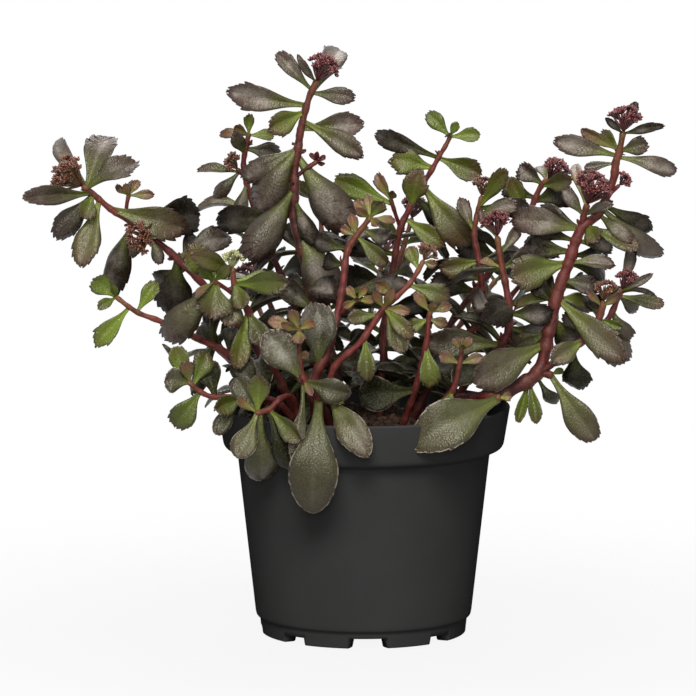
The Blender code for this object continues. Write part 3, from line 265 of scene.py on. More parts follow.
SHOOTS = {
    "left_reaching_shoot": [Branch(
        [(-24, 0, 79), (-38, 0, 108), (-57, -1, 134), (-76, -3, 154.5), (-94, -5, 169.2),
         (-103, -6, 175.3), (-110, -7, 181.4), (-114.5, -8, 185)], (3.4, 2.0),
        [(6.5, 8, 3, 21.5, 13.5, 10, 0.75), (6.5, 18.5, -2, 12, 12, 40, 0.7),
         (6.1, -27, -12, 0, 10, 5, 0.75), (6.2, -17, 16, 21, 7.5, 0, 0.8), (6, -4, -7, -9, 9, 0, 0.3),
         (6, -15, -1, -17, 11, 0, 0.9), (5.6, -7, -5, -26, 13.5, -10, 0.5),
         (4, -11, -1, -27.5, 15, 15, 1.0), (5, 30, -8, -8, 14, 5, 0.55), (4, 27, 11, 2.5, 18, 5, 1.0),
         (3, -2, 5, -23.5, 17, 0, 1.0), (3, 21, 6, 9, 12, 20, 0.9), (2.8, -13, 6, -8, 11, 0, 1.0),
         (2.9, 5, 7, 9.5, 10, 0, 1.0)],
        ("left_flower_head", 7.6),
    ), Branch(
        [(-96.5, -5, 170.5), (-96.5, -5, 176.5), (-95.5, -5, 181.5)], (1.8, 1.4),
        [(2, -5, 0, 4, 3.5, 0, 0.4), (2, 10, 0, 0.5, 4.5, 20, 0.5), (2, 4, 0, 6, 3.5, 0, 0.4),
         (2, -1, -3, 4.5, 4, 0, 0.4), (2, 2, 3, 5, 4, 0, 0.4)],
    ), Branch(
        [(-85, -4.5, 163), (-86.5, -8, 163.5), (-88, -11, 164)], (2.2, 2.0),
        [(1, -3, 3, 9, 4.5, 0, 0.9), (1, -10, 0, -7, 5.5, 0, 0.8), (1, 4, -1, -10, 6, 0, 0.7)],
        ("left_hanging_flower_head", 5.8),
    )],
    "left_green_shoot": [Branch(
        [(-30, -8, 79), (-44, -14, 104), (-56, -17, 117.4), (-67, -18, 123.5), (-82, -19, 130.7),
         (-92, -20, 134.8), (-101, -20, 141.5)], (3.4, 1.6),
        [(6, -9, -1, 7.5, 9, 10, 0.1), (6, -6.5, -4, -3, 5, 30, 0.15), (6, -1, -3, 5, 4, 0, 0.1),
         (5, 7.5, 0, 12, 7.5, 10, 0.1), (5.3, -13.5, -2, -15, 9, 0, 0.1), (2, -11, 3, 11, 11, 0, 1.0),
         (1.9, 1, 7, 10, 8, 0, 1.0)],
    )],
    "left_front_shoot": [Branch(
        [(-22, -14, 79), (-34, -22, 107), (-43, -28, 126), (-47, -31, 137.3), (-51, -32, 143),
         (-52.5, -32, 149), (-53, -32, 154.5)], (3.4, 1.8),
        [(5.7, -13, -6, 8, 9, 0, 0.4), (5, 15, 0, 2, 7, 45, 0.2), (5, 4, -7, -10, 8.5, 0, 0.35),
         (4.8, 21, -2, 2, 11, 10, 0.25), (3, 7, -3, -14, 9.5, 0, 0.4), (4.3, -3, -6, -13, 12, 0, 0.5),
         (3, -4, -4, -23, 9, 20, 0.3)],
        ("cream_flower_head", 3.4),
    ), Branch(
        [(-50, -32, 141.5), (-56, -34, 146.5), (-61, -36, 149.7)], (2.0, 1.5),
        [(2, -10, -2, 13.5, 13.5, 5, 0.3), (1.6, -2, -7, -12.5, 16, 0, 0.4),
         (2, -7, -4, -4, 4.5, 40, 0.4), (2, -5, -3, 6, 5, 20, 0.15), (2, -1, -3, 8, 5, 0, 0.15),
         (1.6, -21, 2, -24, 14, 0, 0.65), (2, 5, -5, 6, 5, 0, 0.2)],
    )],
    "lower_left_shoot": [Branch(
        [(-20, -24, 79), (-34, -33, 99), (-48, -37, 102.5), (-60, -38, 102.6), (-66, -39, 105),
         (-71, -40, 109.4)], (3.0, 1.6),
        [(4, -10, -1, -14, 11.5, 0, 0.15), (5, -9.5, -2, 2, 11, 0, 0.55), (4.5, 6, 1, 13, 9, 0, 0.2),
         (5, -6, 2, 14, 9, 0, 0.15), (5, -1, 1, 9, 6, 0, 0.3), (5, -12, 4, 13, 5, 60, 0.9),
         (2, -12, -4, -4, 10, 0, 0.25), (2.2, -9, -7, -15, 9, 0, 0.5), (3, -3, 5, 14, 12, 0, 1.0),
         (1.6, -8, 4, 16, 12, 0, 1.0), (1.8, -6, 9, 8, 11, 0, 1.0)],
    )],
    "front_left_shoot": [Branch(
        [(-23, -31, 79), (-28, -41, 101), (-33, -50, 104), (-38, -54, 100), (-43.5, -57, 99)], (2.8, 1.9),
        [(4, 1, -2, 15, 10, 0, 0.25), (4, -8, 3, 13, 10.5, 0, 0.5), (4, -8.5, -3, 5.5, 5, 50, 0.35),
         (3.8, -7.5, -4, -18, 12, 0, 0.5), (3, 13, -11, -11, 9.5, 0, 0.3), (3, 8, -2, -26, 13.5, 0, 0.95),
         (3.6, 1, 2, -32, 17, 0, 0.6)],
    )],
    "front_rim_shoot": [Branch(
        [(-10, -30, 79), (-18, -50, 104), (-24, -53, 111.5), (-26, -53, 121),
         (-26, -53, 133)], (3.4, 2.0),
        [(1, -3, -17, -42, 21, 0, 0.55, 8.5), (2, -3, -12, -36, 11, 30, 0.7), (2, 17, -7, -5, 12, 0, 0.6),
         (2, -15, -3, 20, 15.5, 0, 0.8), (4, -12, -1, 4, 6, 20, 0.35), (4, -6, -4, 3, 4.5, 0, 0.3),
         (4, 6, -3, 4, 5, 0, 0.3), (4, 0, -7, -4, 6, 0, 0.4), (4, -3, 2, 8, 5, 0, 0.4),
         (3, 4, -6, 2, 4, 0, 0.5), (3, -5, -6, 0, 4, 0, 0.5), (2, 3, -6, -4, 4, 0, 0.5)],
    )],
    "front_middle_shoot": [Branch(
        [(-16, -28, 79), (-20.5, -40, 104), (-19, -43, 113), (-14, -42, 124), (-9, -37, 144),
         (-7, -33, 160), (-3, -32, 167.5), (3, -31, 175.3)], (4.4, 1.8),
        [(2.3, -1, -2, 25, 18, 0, 0.9), (6, -2, -2, 8.5, 5, 0, 0.35), (6, 12, -3, -11, 8, 0, 0.4),
         (6, -6, 0, 3, 4.5, 0, 0.35), (7, -6, 0, 7, 4.5, 0, 0.35), (7, -1, 2, 9, 4.5, 0, 0.35),
         (7, 5, -2, 7, 6.5, 0, 0.4), (7, 10, 0, -1, 4, 40, 0.3), (7, 3, -4, -2, 4, 0, 0.3),
         (4, 27, -2, 4, 9, 30, 1.0), (5.2, -13, 6, 3, 9, 0, 1.0), (6.3, 12, 5, -4, 9, 0, 0.9),
         (4.7, -8, 5, 1, 8, 0, 1.0), (7, -5, -1, 4, 4, 0, 0.4)],
    ), Branch(
        [(-10, -39, 136), (-6, -41, 140), (-2, -43, 143)], (2.0, 1.5),
        [(2, -4, 0, 5.5, 4, 0, 0.35), (2, 3.5, 0, 6, 4, 0, 0.3), (2, 0, -4, 2, 3.5, 0, 0.35),
         (2, 7, -2, 1, 4, 30, 0.35), (2, -6, -1, -2, 4, 0, 0.35)],
    )],
    "front_red_stemmed_shoot": [Branch(
        [(-2, -28, 79), (-13, -43, 102), (-12, -46, 115.5), (-2, -47, 125.5), (3, -46, 132.4),
         (8, -45, 139.8), (13, -43, 144), (18, -41, 148.7), (22, -40, 154.6),
         (24, -39, 158.5)], (3.0, 1.6),
        [(1.1, 15, -22, -20, 14.5, 0, 0.55, 6.0), (1.3, 5, -8, -3, 5, 0, 0.0),
         (3.4, 1, -4, -17, 8.5, 0, 0.35), (4.6, -12.5, -2, -1, 7, 20, 0.35), (5, 10, -3, -1, 5, 20, 0.4),
         (5, -4, -3, 7, 4.5, 0, 0.3), (5, 3, -4, 7, 4.5, 0, 0.35), (5, 10, -4, -9, 7.5, 0, 0.4),
         (6, -8, 0, 6, 6, 0, 0.3), (5.2, 7, -6, -18, 9.5, 0, 0.4), (7, 16, -2, -5, 9, 0, 0.3),
         (8, -4, 2, 9, 6.5, 0, 0.3), (9, 5, -2, -1, 4, 0, 0.4)],
        ("front_flower_head", 3.4),
    )],
    "front_centre_shoot": [Branch(
        [(12, -24, 79), (20, -36, 103), (25, -42, 124.5), (26, -42, 135), (27, -42, 138.5)], (2.6, 1.6),
        [(1.1, -22, 4, -3, 16, 0, 0.95), (2, 2, -4, -16, 9, 0, 0.2), (3, -8, -2, -3.5, 6.5, 0, 0.3),
         (4, -6, 0, 8, 4.5, 0, 0.3), (4, 8, 0, 3, 5, 20, 0.3), (4, 1, -4, 4, 4, 0, 0.25),
         (3, 7, -2, -2, 5, 0, 0.3)],
    )],
    "front_right_shoot": [Branch(
        [(18, -26, 79), (28, -38, 97), (35.5, -44, 106), (38.5, -45, 117.3),
         (39.5, -45, 123.5)], (2.6, 1.5),
        [(2, -3, -6, -8, 8.5, 0, 0.3), (3, -8, -1, 4, 5.5, 0, 0.5), (3, 9, -1, 3, 5, 0, 0.5),
         (4, -3, -1, 5, 4, 0, 0.4), (4, 3, -1, 5, 4, 0, 0.4), (4, 0, 3, 5, 4, 0, 0.4),
         (4, 0, -3, 4, 3.5, 0, 0.4)],
    )],
    "right_main_shoot": [Branch(
        [(22, -12, 79), (38, -22, 97), (50, -28, 101), (62, -28, 105.5), (71, -26, 112), (75, -24, 127.5),
         (78, -22, 141), (83, -20, 155), (88, -18, 168.5), (95, -16, 174.5), (101, -15, 188),
         (102, -15, 195), (103.5, -15, 200), (105, -15, 208)], (6.4, 2.2),
        [(4.7, -30, -14, -13.5, 17, 5, 0.6), (5, -16, -1, -9, 14, 0, 0.75),
         (6, 27, -15, -23, 13, 0, 0.55), (6, -17, 2, -3, 10, 55, 0.4), (6, 13, 4, -2.5, 8.5, 60, 0.3),
         (7, -23, -4, -5, 15.5, 5, 0.35), (7, 18, -1, -0.5, 9.5, 60, 0.7), (7, 18, 8, -4, 14, 0, 1.0),
         (8, -27, -2, 4.5, 12, 8, 0.8), (8.3, 4, -7, -6, 8.5, -20, 0.3),
         (8.2, 22, -2, -9.5, 8.5, 35, 0.45), (9, 13, -5, -11, 9, 0, 0.7),
         (9.2, 24, -2, -22.5, 11.5, 0, 0.8), (9.3, 20, 3, -11.5, 9, 0, 1.0), (11, -12, 0, -3, 6, 50, 0.8),
         (12, -7.5, 3, 7, 7.5, 0, 0.4), (12, -15.5, 4, 9, 6, 0, 0.4), (11.5, 24, 0, -5.5, 8, 25, 0.8),
         (11.6, -25, 1, 6.5, 9, 10, 0.8), (12, 11, -2, 3, 9, 0, 0.6), (13, -8, 1, 8, 3.5, 0, 1.0),
         (13, 6, 7, 13, 4.5, 0, 1.0), (13, 14, -3, 4, 4.5, 0, 1.0), (3.5, -4.5, 0, -17, 5.5, 0, 0.15),
         (3.5, 3, -1, -17, 6.5, 0, 0.2), (3.8, 9, 6, -15, 7, 0, 1.0), (6.5, 14, -4, -3, 9, 20, 0.9),
         (7.3, -20, 7, 2, 11, 0, 1.0), (7.6, 15, 4, -3, 8, 20, 1.0), (5.4, 10, 6, -13, 12, 0, 1.0),
         (8, -17, 5, 7.5, 9, 0, 0.9), (5.8, -9, 8, 10, 9, 0, 1.0), (5.9, 15, 2, -3, 8, 10, 0.6),
         (7.6, -16, 8, 5, 9, 0, 1.0), (7.2, 13, 4, 0, 8, 0, 1.0), (6.3, 11, 5, 2, 9, 0, 1.0),
         (5.9, -5, 4, 10, 8, 0, 1.0)],
        ("right_tall_flower_head", 5.8),
    ), Branch(
        [(88, -18, 167), (89, -19, 174), (90.5, -20, 179)], (2.4, 2.2),
        [(1, -8, -3, 11, 6, 0, 0.9), (1, 10, -1, 6, 5, 20, 0.9), (1.6, -5, 8, 18, 5, 0, 0.6),
         (1.6, 3, 9, 15, 4.5, 0, 0.5)],
        ("right_broad_flower_head", 7.4),
    ), Branch(
        [(98, -15.5, 181), (101, -17, 184), (103.5, -18, 186.5)], (1.8, 1.6),
        [],
        ("right_small_flower_head", 2.6),
    ), Branch(
        [(70, -26.5, 110), (78, -28, 116), (84.5, -28, 121), (91, -28, 126.5), (95, -28, 133),
         (97, -28, 140.5)], (3.2, 2.4),
        [(2.7, -12.5, -6, -7, 10.5, 0, 0.45), (2, 2, 3, -18, 12, 0, 0.95), (3.4, 14, 4, -13, 15, 0, 0.85),
         (4, 9, -4, -3, 4.5, 0, 0.1), (4.6, -6, 0, 7, 4, 0, 0.5), (4.6, 6, 0, 6, 4, 0, 0.5),
         (3, -9, 5, 8, 9, 0, 1.0), (4, -2, 7, 8.5, 8, 0, 1.0)],
        ("right_low_flower_head", 4.4),
    ), Branch(
        [(91, -28, 126.5), (98, -27, 132), (101, -27, 137), (103, -27, 142.5),
         (104.5, -27, 145)], (2.4, 2.0),
        [(3.3, 4.5, 8, 15, 6, 0, 0.8), (3.6, 12.5, -5, 7.5, 4, 0, 0.9), (3, 18, 0, -4, 6.5, 20, 0.45),
         (3.4, 13, -5, 1, 3, 60, 1.0), (1.8, 6, 3, -13, 9, 0, 0.8), (3, 8, 5, -7, 7, 0, 0.9)],
        ("right_outer_flower_head", 4.4),
    ), Branch(
        [(71, -26.5, 111), (76.5, -28, 110)], (3.0, 2.6),
        [(1, 18, -3, -26.5, 14.5, 0, 0.5), (1, 5, -3, 3, 3.5, 0, 0.0)],
    ), Branch(
        [(38, -22, 97), (47, -33, 102), (55, -40, 102.5)], (3.4, 2.4),
        [(2, -32, -21, -13.5, 22, 5, 0.5, 3.0), (2, 5, -1, 1, 4, 20, 0.3)],
    )],
    "right_front_shoot": [Branch(
        [(30, -8, 79), (42, -18, 106), (56, -23, 122), (59, -23, 133.2), (57.5, -22, 146), (56, -21, 153),
         (54, -20, 165.8)], (3.4, 2.2),
        [(2, -31, -4, 3, 14, 0, 0.7), (5, -9, -2, 3, 5.5, 50, 0.4), (6, -8, 1, 12, 4.5, 0, 0.8),
         (5, 12, 2, 5, 9, 0, 0.9), (5.4, 8, 4, 11, 5, 0, 0.8), (2.6, 15, 8, -4, 12, 0, 1.0),
         (3.1, 17, 5, 2, 11, 0, 1.0)],
        ("right_front_flower_head", 5.6),
    )],
    "right_inner_shoot": [Branch(
        [(16, 0, 79), (32, -5, 112), (46, -8, 128), (49, -8, 135), (47, -8, 154), (45, -8, 166),
         (48, -8, 181)], (3.0, 1.8),
        [(5.6, 11, -4, 17, 8, 20, 0.3), (5, -6, 3, 13, 6, 0, 0.7), (5.4, 16, -4, 5, 9, 20, 0.7),
         (5.6, 21, 4, -1, 10, 20, 1.0), (4, -15, -3, -3, 9, 0, 0.45), (4, 13, 2, -2, 9, 0, 0.9),
         (3.6, -9, 3, 4, 9, 0, 1.0)],
        ("right_inner_flower_head", 4.0),
    )],
    "tall_left_shoot": [Branch(
        [(-6, -8, 79), (-14, -10, 118), (-22, -10, 146), (-27, -10, 166.4), (-28.5, -10, 173.4),
         (-28, -10, 184.4), (-28, -9, 191.3), (-26.5, -9, 201.3), (-25.5, -9, 208.3), (-22.5, -8, 220),
         (-19, -8, 228)], (4.6, 2.2),
        [(10, -6.5, -1, 10, 3.5, 0, 0.9), (9.2, 13, 13, 19, 10.5, 0, 0.85), (9.4, -14, 2, 15, 7, 0, 0.85),
         (9.3, 17, -1, -2, 7.5, 10, 0.7), (8.8, -31, -1, 5, 12, 0, 0.8),
         (8.6, -14, -8, -6, 11.5, 0, 0.35), (8, 24.5, 2, 1.5, 12, 10, 0.8),
         (8.3, 25, -5, -12.5, 11, 0, 0.65), (6.6, 20.5, -3, -30, 17, 0, 0.85),
         (7, -17, -3, -26, 17, 0, 0.85), (6.9, -22, 2, -12.5, 10, 10, 0.9),
         (5, -17, -4, -27, 18, 0, 0.85), (4, -32, 4, -4, 13, 0, 1.0), (3, 15, -4, -27.5, 18, 0, 0.85),
         (4.6, 7, 3, -18, 9, 0, 1.0), (1.5, -16, 4, 12, 11, 0, 1.0), (2.5, -8, 5, 10, 8, 0, 1.0)],
        ("tall_flower_head", 6.2),
    ), Branch(
        [(-28, -10, 188.5), (-23, -11, 192.5), (-18.5, -11, 195.5)], (1.8, 1.6),
        [(2, 3.5, 0, 2.5, 2.2, 0, 0.8), (2, 0.5, 0, 4.5, 2.2, 0, 0.8), (2, 3, -3, 0, 2.2, 0, 0.8),
         (2, -2.5, 1, 3.5, 2.2, 0, 0.8)],
    )],
    "back_left_tall_shoot": [Branch(
        [(-12, 14, 79), (-28, 20, 130), (-42, 24, 163), (-49, 26, 186), (-48.5, 26, 196.5),
         (-47, 26, 203)], (3.0, 1.6),
        [(5, -11.5, 0, 1, 5, 40, 0.4), (5, 0, 0, 8.5, 5, 0, 0.2), (5, 10, 0, 0, 5.5, 30, 0.2),
         (5, -6, -1, 4, 4.5, 0, 0.3), (4, 14, 1, -3, 10, 20, 0.9), (2.3, -25, 2, 2.5, 9, 65, 0.7),
         (2.8, -3, -2, -13, 6.5, 0, 0.8), (3.7, -3.5, 1, 9, 7, 0, 0.6)],
    ), Branch(
        [(-49, 26, 185.5), (-51, 25.5, 187), (-52, 25, 188.5)], (1.8, 1.6),
        [(1, -17, 0, 0.5, 6.5, 40, 0.6), (1, -10.5, 0, -11, 7, 0, 0.8), (1, -6, 1, 6, 4, 0, 0.8)],
        ("back_left_flower_head", 3.2),
    )],
    "green_topped_shoot": [Branch(
        [(6, 6, 79), (9, 7, 125), (13, 7, 155), (15, 6, 166), (18, 6, 172.5), (21, 6, 179),
         (27.5, 5, 189.5), (30.5, 5, 195), (34, 5, 201), (35.5, 5, 204.5)], (3.0, 1.5),
        [(9, -8.5, 0, 9.5, 7.5, 0, 0.1), (9, 12, -1, 1, 7, 20, 0.15), (9, 3, 1, 6, 4, 0, 0.1),
         (9, -1, -4, 2, 4, 0, 0.1), (6.2, -16, -2, 4, 11.5, 0, 0.25), (7, 17, -2, -6.5, 11, 0, 0.3),
         (7, -26, 3, 9, 9.5, 10, 0.95), (5.45, 18, -5, -24, 15.5, 0, 0.5), (5, 14, 4, -14, 9.5, 0, 1.0),
         (3.6, 15, -6, -10, 9, 0, 0.3), (4.4, 3, -9, 14, 12.5, 0, 0.4), (2, -24, -2, 5, 11, 10, 1.0),
         (1.5, -20, -2, 4, 12, 10, 1.0), (1.2, 17, -6, 5, 10, 0, 1.0)],
    ), Branch(
        [(15, 6, 166), (13, 4, 172), (11, 2, 178.5)], (1.8, 1.4),
        [(2, -6, -2, 10.5, 5.5, 0, 0.35), (1.6, -23, 0, 10, 11, 10, 0.15), (2, 1, -3, 5, 4, 0, 0.3)],
    )],
    "back_right_tall_shoot": [Branch(
        [(14, 12, 79), (34, 16, 122), (56, 15, 152), (67, 12, 170), (72, 11, 181.5),
         (75.5, 10, 186)], (3.0, 1.9),
        [(3, -7, -1, 16, 8.5, 0, 0.3), (4.3, -9, 0, 7.5, 9, 0, 0.9), (4.2, 12, -3, 3.5, 9, 0, 0.5),
         (3.5, 14, 2, 4, 12, 0, 1.0), (1.5, -17, -2, 5, 12, 10, 1.0), (2, -16, 4, 6, 13, 0, 1.0),
         (2, 16, -5, -3, 13, 0, 1.0), (4.7, -2, 3, 6, 7, 0, 0.9), (3.6, -12, 4, 4, 10, 0, 1.0)],
        ("back_right_flower_head", 5.2),
    )],
}
BACK_SHOOTS = {
    "back_shoot_1": (20, 78, 150, 4.5),
    "back_shoot_2": (48, 84, 138, 0),
    "back_shoot_3": (64, 46, 166, 5.0),
    "back_shoot_4": (84, 88, 146, 4.8),
    "back_shoot_5": (108, 58, 172, 0),
    "back_shoot_6": (124, 86, 134, 5.2),
    "back_shoot_7": (146, 60, 160, 0),
    "back_shoot_8": (166, 84, 136, 4.4),
}
BACK_ROOT_RADIUS = 24.0
BACK_LEAF_PAIRS = 6
BACK_LEAF_LENGTH = 26.0
CORE_RADIUS = 66.0
CORE_FOOT = 99.0
CORE_TOP = 164.0
CORE_PAIR_STEP = 15.0
CORE_LEAF_LENGTH = 23.0
LEAF_ASPECT = 0.56
FACE_OUT = 1.1
CORE_FRONT = -24.0
print("shoots:", len(SHOOTS), "in front and", len(BACK_SHOOTS), "behind")

# %% Pot and soil outlines


def body_radius(height):
    """The outside radius of the pot's tapered wall."""
    top = POT_HEIGHT - RIM_BAND - WALL_DROP
    share = (height - 2 * FOOT_HEIGHT) / (top - 2 * FOOT_HEIGHT)
    return BODY_FOOT_RADIUS + (BODY_TOP_RADIUS - BODY_FOOT_RADIUS) * share


def band_inner_radius(height):
    """The inside radius of the rim band, which widens towards the lip."""
    foot = POT_HEIGHT - RIM_BAND + BAND_INNER_RISE
    share = (height - foot) / (POT_HEIGHT - LIP_ROUND - foot)
    inner_foot = RIM_FOOT_RADIUS - BAND_STEP - WALL
    return inner_foot + (RIM_RADIUS - RIM_LIP - 0.2 - inner_foot) * share


def soil_height(x, y):
    """The soil's surface: a low crown with lumps."""
    reach = math.hypot(x, y) / RIM_RADIUS
    lumps = math.sin(0.31 * x + 1.1) * math.sin(0.27 * y + 0.4) + 0.6 * math.sin(0.53 * x - 0.47 * y)
    return SOIL_LEVEL + SOIL_CROWN * (1 - reach * reach) + SOIL_BUMP * lumps


# %% Curves and blades


def point_on(points, at):
    """A place on the smooth curve through the points, with the direction there."""
    last = len(points) - 1
    at = min(max(at, 0.0), last)
    first = min(int(at), last - 1)
    share = at - first
    knots = [Vector(points[min(max(first + step, 0), last)]) for step in (-1, 0, 1, 2)]
    before, here, after, beyond = knots
    leave = (after - before) / 2
    arrive = (beyond - here) / 2
    rise = here - after
    cube = 2 * rise + leave + arrive
    square = -3 * rise - 2 * leave - arrive
    place = here + share * (leave + share * (square + share * cube))
    direction = leave + share * (2 * square + 3 * share * cube)
    return place, direction.normalized()


def half_width(share):
    """The outline of a spoon-shaped leaf: its half width at this share of its length."""
    if share < WIDEST:
        rise = share / WIDEST
        return STALK_SHARE + (1 - STALK_SHARE) * rise * rise * (3 - 2 * rise)
    fall = (share - WIDEST) / (1 - WIDEST)
    return math.sqrt(max(0.0, 1 - fall * fall))


def blade_from_row(points, leaf):
    """Where a leaf of the tables lies: its upper face turned from the front towards up."""
    base, along = point_on(points, leaf.at)
    if leaf.at > len(points) - 1.05:
        base -= along * TIP_BACK
    reach = Vector((leaf.dx, leaf.dy, leaf.dz))
    axis = reach.normalized()
    front = Vector((0, -1, 0))
    facing = (front - axis * front.dot(axis)).normalized()
    upward = axis.cross(facing)
    if upward.dot(Vector((0.35, 0, 1))) < 0:
        upward = -upward
    turn = math.radians(leaf.turn)
    normal = facing * math.cos(turn) + upward * math.sin(turn)
    arch = ARCH * reach.length * (leaf.age - 0.3) if leaf.arch is None else leaf.arch
    return Blade(base, reach, normal, leaf.width, leaf.age, arch)


def blade_sections(blade, puff):
    """Sections across a leaf: left edge, midrib above, right edge, midrib below.

    A narrow leaf has no fold along its upper face, so its sections have three corners.
    """
    axis = blade.reach.normalized()
    side = axis.cross(blade.normal).normalized()
    up = side.cross(axis)
    thick = LEAF_THICKNESS * (0.7 + 0.6 * blade.age)
    keeled = blade.width < BROAD_WIDTH
    sections = []
    for share in SMALL_STATIONS if blade.width < SMALL_WIDTH else STATIONS:
        half = blade.width / 2 * half_width(share) + puff
        middle = blade.base + blade.reach * share + up * (4 * share * (1 - share) * blade.arch)
        edge_out = side * (half * math.cos(FOLD))
        edge_up = up * (half * math.sin(FOLD) * (0.5 if keeled else 1.0))
        section = [
            middle - edge_out + edge_up, middle + up * puff, middle + edge_out + edge_up,
            middle - up * (thick + puff),
        ]
        if keeled:
            section.pop(1)
        sections.append(section)
    return sections


def leaf_solid(blade, start=0.0, puff=0.0):
    """A leaf as a closed solid, from a share of its length before its second section, grown by puff."""
    sections = blade_sections(blade, puff)
    second = (SMALL_STATIONS if blade.width < SMALL_WIDTH else STATIONS)[1]
    sections[0] = [near.lerp(far, start / second) for near, far in zip(sections[0], sections[1])]
    beyond = blade.reach.normalized() * puff
    sections[-1] = [corner + beyond for corner in sections[-1]]
    return loft(sections)


def loft_faces(rows, count):
    """The faces of a closed tube: rows of equal count, with a cap at each end."""
    faces = []
    for row in range(rows - 1):
        for column in range(count):
            here = row * count + column
            beside = row * count + (column + 1) % count
            faces.append((here, beside, beside + count, here + count))
    return faces + [tuple(range(count))[::-1], tuple(range((rows - 1) * count, rows * count))]


def loft(sections):
    """Corners and faces of the closed solid through sections of equal count."""
    corners = [corner for section in sections for corner in section]
    return corners, loft_faces(len(sections), len(sections[0]))


# %% Room for every leaf


def box_of(corners):
    """The lowest and the highest x, y and z of the corners."""
    return [[pick(c[i] for c in corners) for i in range(3)] for pick in (min, max)]


class Room:
    """What already stands in the way, each piece with its shoot's name and its box."""

    def __init__(self):
        self.pieces = []

    def add(self, owner, corners, faces):
        self.pieces.append((owner, *box_of(corners), BVHTree.FromPolygons(corners, faces)))

    def is_free(self, owner, whole, outer):
        """Whether a leaf clears the other shoots, and its outer part its own shoot."""
        for corners, faces, same in ((*whole, False), (*outer, True)):
            low, high = box_of(corners)
            tree = BVHTree.FromPolygons(corners, faces)
            for other, other_low, other_high, other_tree in self.pieces:
                apart = any(low[i] > other_high[i] or high[i] < other_low[i] for i in range(3))
                if (other == owner) == same and not apart and tree.overlap(other_tree):
                    return False
        return True


SHIFTS = (0, -3, 3, -6, 6, -9, 9, -12, 12)
TURNS = (0, 18, -18, 36, -36)
SIZES = (1.0, 0.88, 0.76, 0.62)


def turned_about(vector, axis, degrees):
    angle = math.radians(degrees)
    return (
        vector * math.cos(angle)
        + axis.cross(vector) * math.sin(angle)
        + axis * axis.dot(vector) * (1 - math.cos(angle))
    )


def dips_into_pot(corners):
    """Whether any corner is inside the pot and as low as the soil."""
    soil_top = SOIL_LEVEL + SOIL_CROWN + SOIL_BUMP
    return any(c.z < soil_top and math.hypot(c.x, c.y) < RIM_RADIUS for c in corners)


def settle(room, owner, blade):
    """The first small change of depth, turn or size that gives the leaf room, or None."""
    for size in SIZES:
        for turn in TURNS:
            for shift in SHIFTS:
                reach = (blade.reach + Vector((0, shift, 0))) * size
                axis = reach.normalized()
                normal = (blade.normal - axis * axis.dot(blade.normal)).normalized()
                normal = turned_about(normal, axis, turn)
                tried = blade._replace(
                    reach=reach, normal=normal, width=blade.width * size, arch=blade.arch * size
                )
                whole = leaf_solid(tried, 0.0, GAP)
                outer = leaf_solid(tried, BLADE_START, GAP)
                if not dips_into_pot(whole[0]) and room.is_free(owner, whole, outer):
                    room.add(owner, *whole)
                    return tried
    return None


# %% Shoots


def crossed_pair(points, at, pair, length, age, lift):
    """Two opposite leaves, crosswise to the pair below, facing up and away from the pot's axis."""
    base, along = point_on(points, at)
    level = Vector((base.x, base.y, 0)).normalized()
    aside = Vector((-level.y, level.x, 0))
    across = aside if pair % 2 else level
    across = (across - along * along.dot(across)).normalized()
    facing = Vector((0, 0, 1)) + level * FACE_OUT
    blades = []
    for way in (-1, 1):
        axis = (across * way + Vector((0, 0, lift))).normalized()
        normal = (facing - axis * axis.dot(facing)).normalized()
        arch = ARCH * length * (age - 0.3)
        blades.append(Blade(base, axis * length, normal, length * LEAF_ASPECT, age, arch))
    return blades


def back_shoot(angle, reach, top, head, name):
    """A shoot that leans away from the front, with crossed pairs of leaves."""
    lean = Vector((math.cos(math.radians(angle)), math.sin(math.radians(angle)), 0))
    aside = Vector((-lean.y, lean.x, 0))
    foot = lean * BACK_ROOT_RADIUS + Vector((0, 0, ROOT_HEIGHT))
    tip = lean * reach + Vector((0, 0, top))
    over = lean * (reach * 0.62) + aside * 5 + Vector((0, 0, (ROOT_HEIGHT + top) / 2))
    points = [tuple(foot), tuple(foot.lerp(over, 0.5) + lean * 3), tuple(over), tuple(tip)]
    blades = []
    for pair in range(BACK_LEAF_PAIRS):
        share = pair / (BACK_LEAF_PAIRS - 1)
        at = 0.75 + (1.95 if head else 2.2) * share
        length = BACK_LEAF_LENGTH * (1.05 - 0.5 * share)
        blades += crossed_pair(points, at, pair, length, 1.0 - 0.7 * share, 0.1 + 0.5 * share)
    flower = (name + "_flower_head", head) if head else None
    return points, (3.4, 1.9), blades, flower


def core_blades(points):
    """Old leaves in crossed pairs along the part of a branch that lies in the bushy core."""
    last = len(points) - 1
    blades = []
    walked = CORE_PAIR_STEP
    before = Vector(points[0])
    for step in range(1, 20 * last):
        at = step / 20
        place, _ = point_on(points, at)
        walked += (place - before).length
        before = place
        inside = math.hypot(place.x, place.y) < CORE_RADIUS and CORE_FOOT < place.z < CORE_TOP
        if inside and place.y > CORE_FRONT and walked >= CORE_PAIR_STEP:
            pair = len(blades) // 2
            blades += crossed_pair(points, at, pair, CORE_LEAF_LENGTH, 1.0, -0.1)
            walked = 0.0
    return blades


def plan_shoots():
    """Every shoot as a list of (points, thickness, blades, head)."""
    plan = {}
    for name, branches in SHOOTS.items():
        plan[name] = []
        for branch in branches:
            blades = [blade_from_row(branch.points, Leaf(*row)) for row in branch.leaves]
            plan[name].append((branch.points, branch.thick, blades, branch.head))
    for name, (angle, reach, top, head) in BACK_SHOOTS.items():
        plan[name] = [back_shoot(angle, reach, top, head, name)]
    return plan


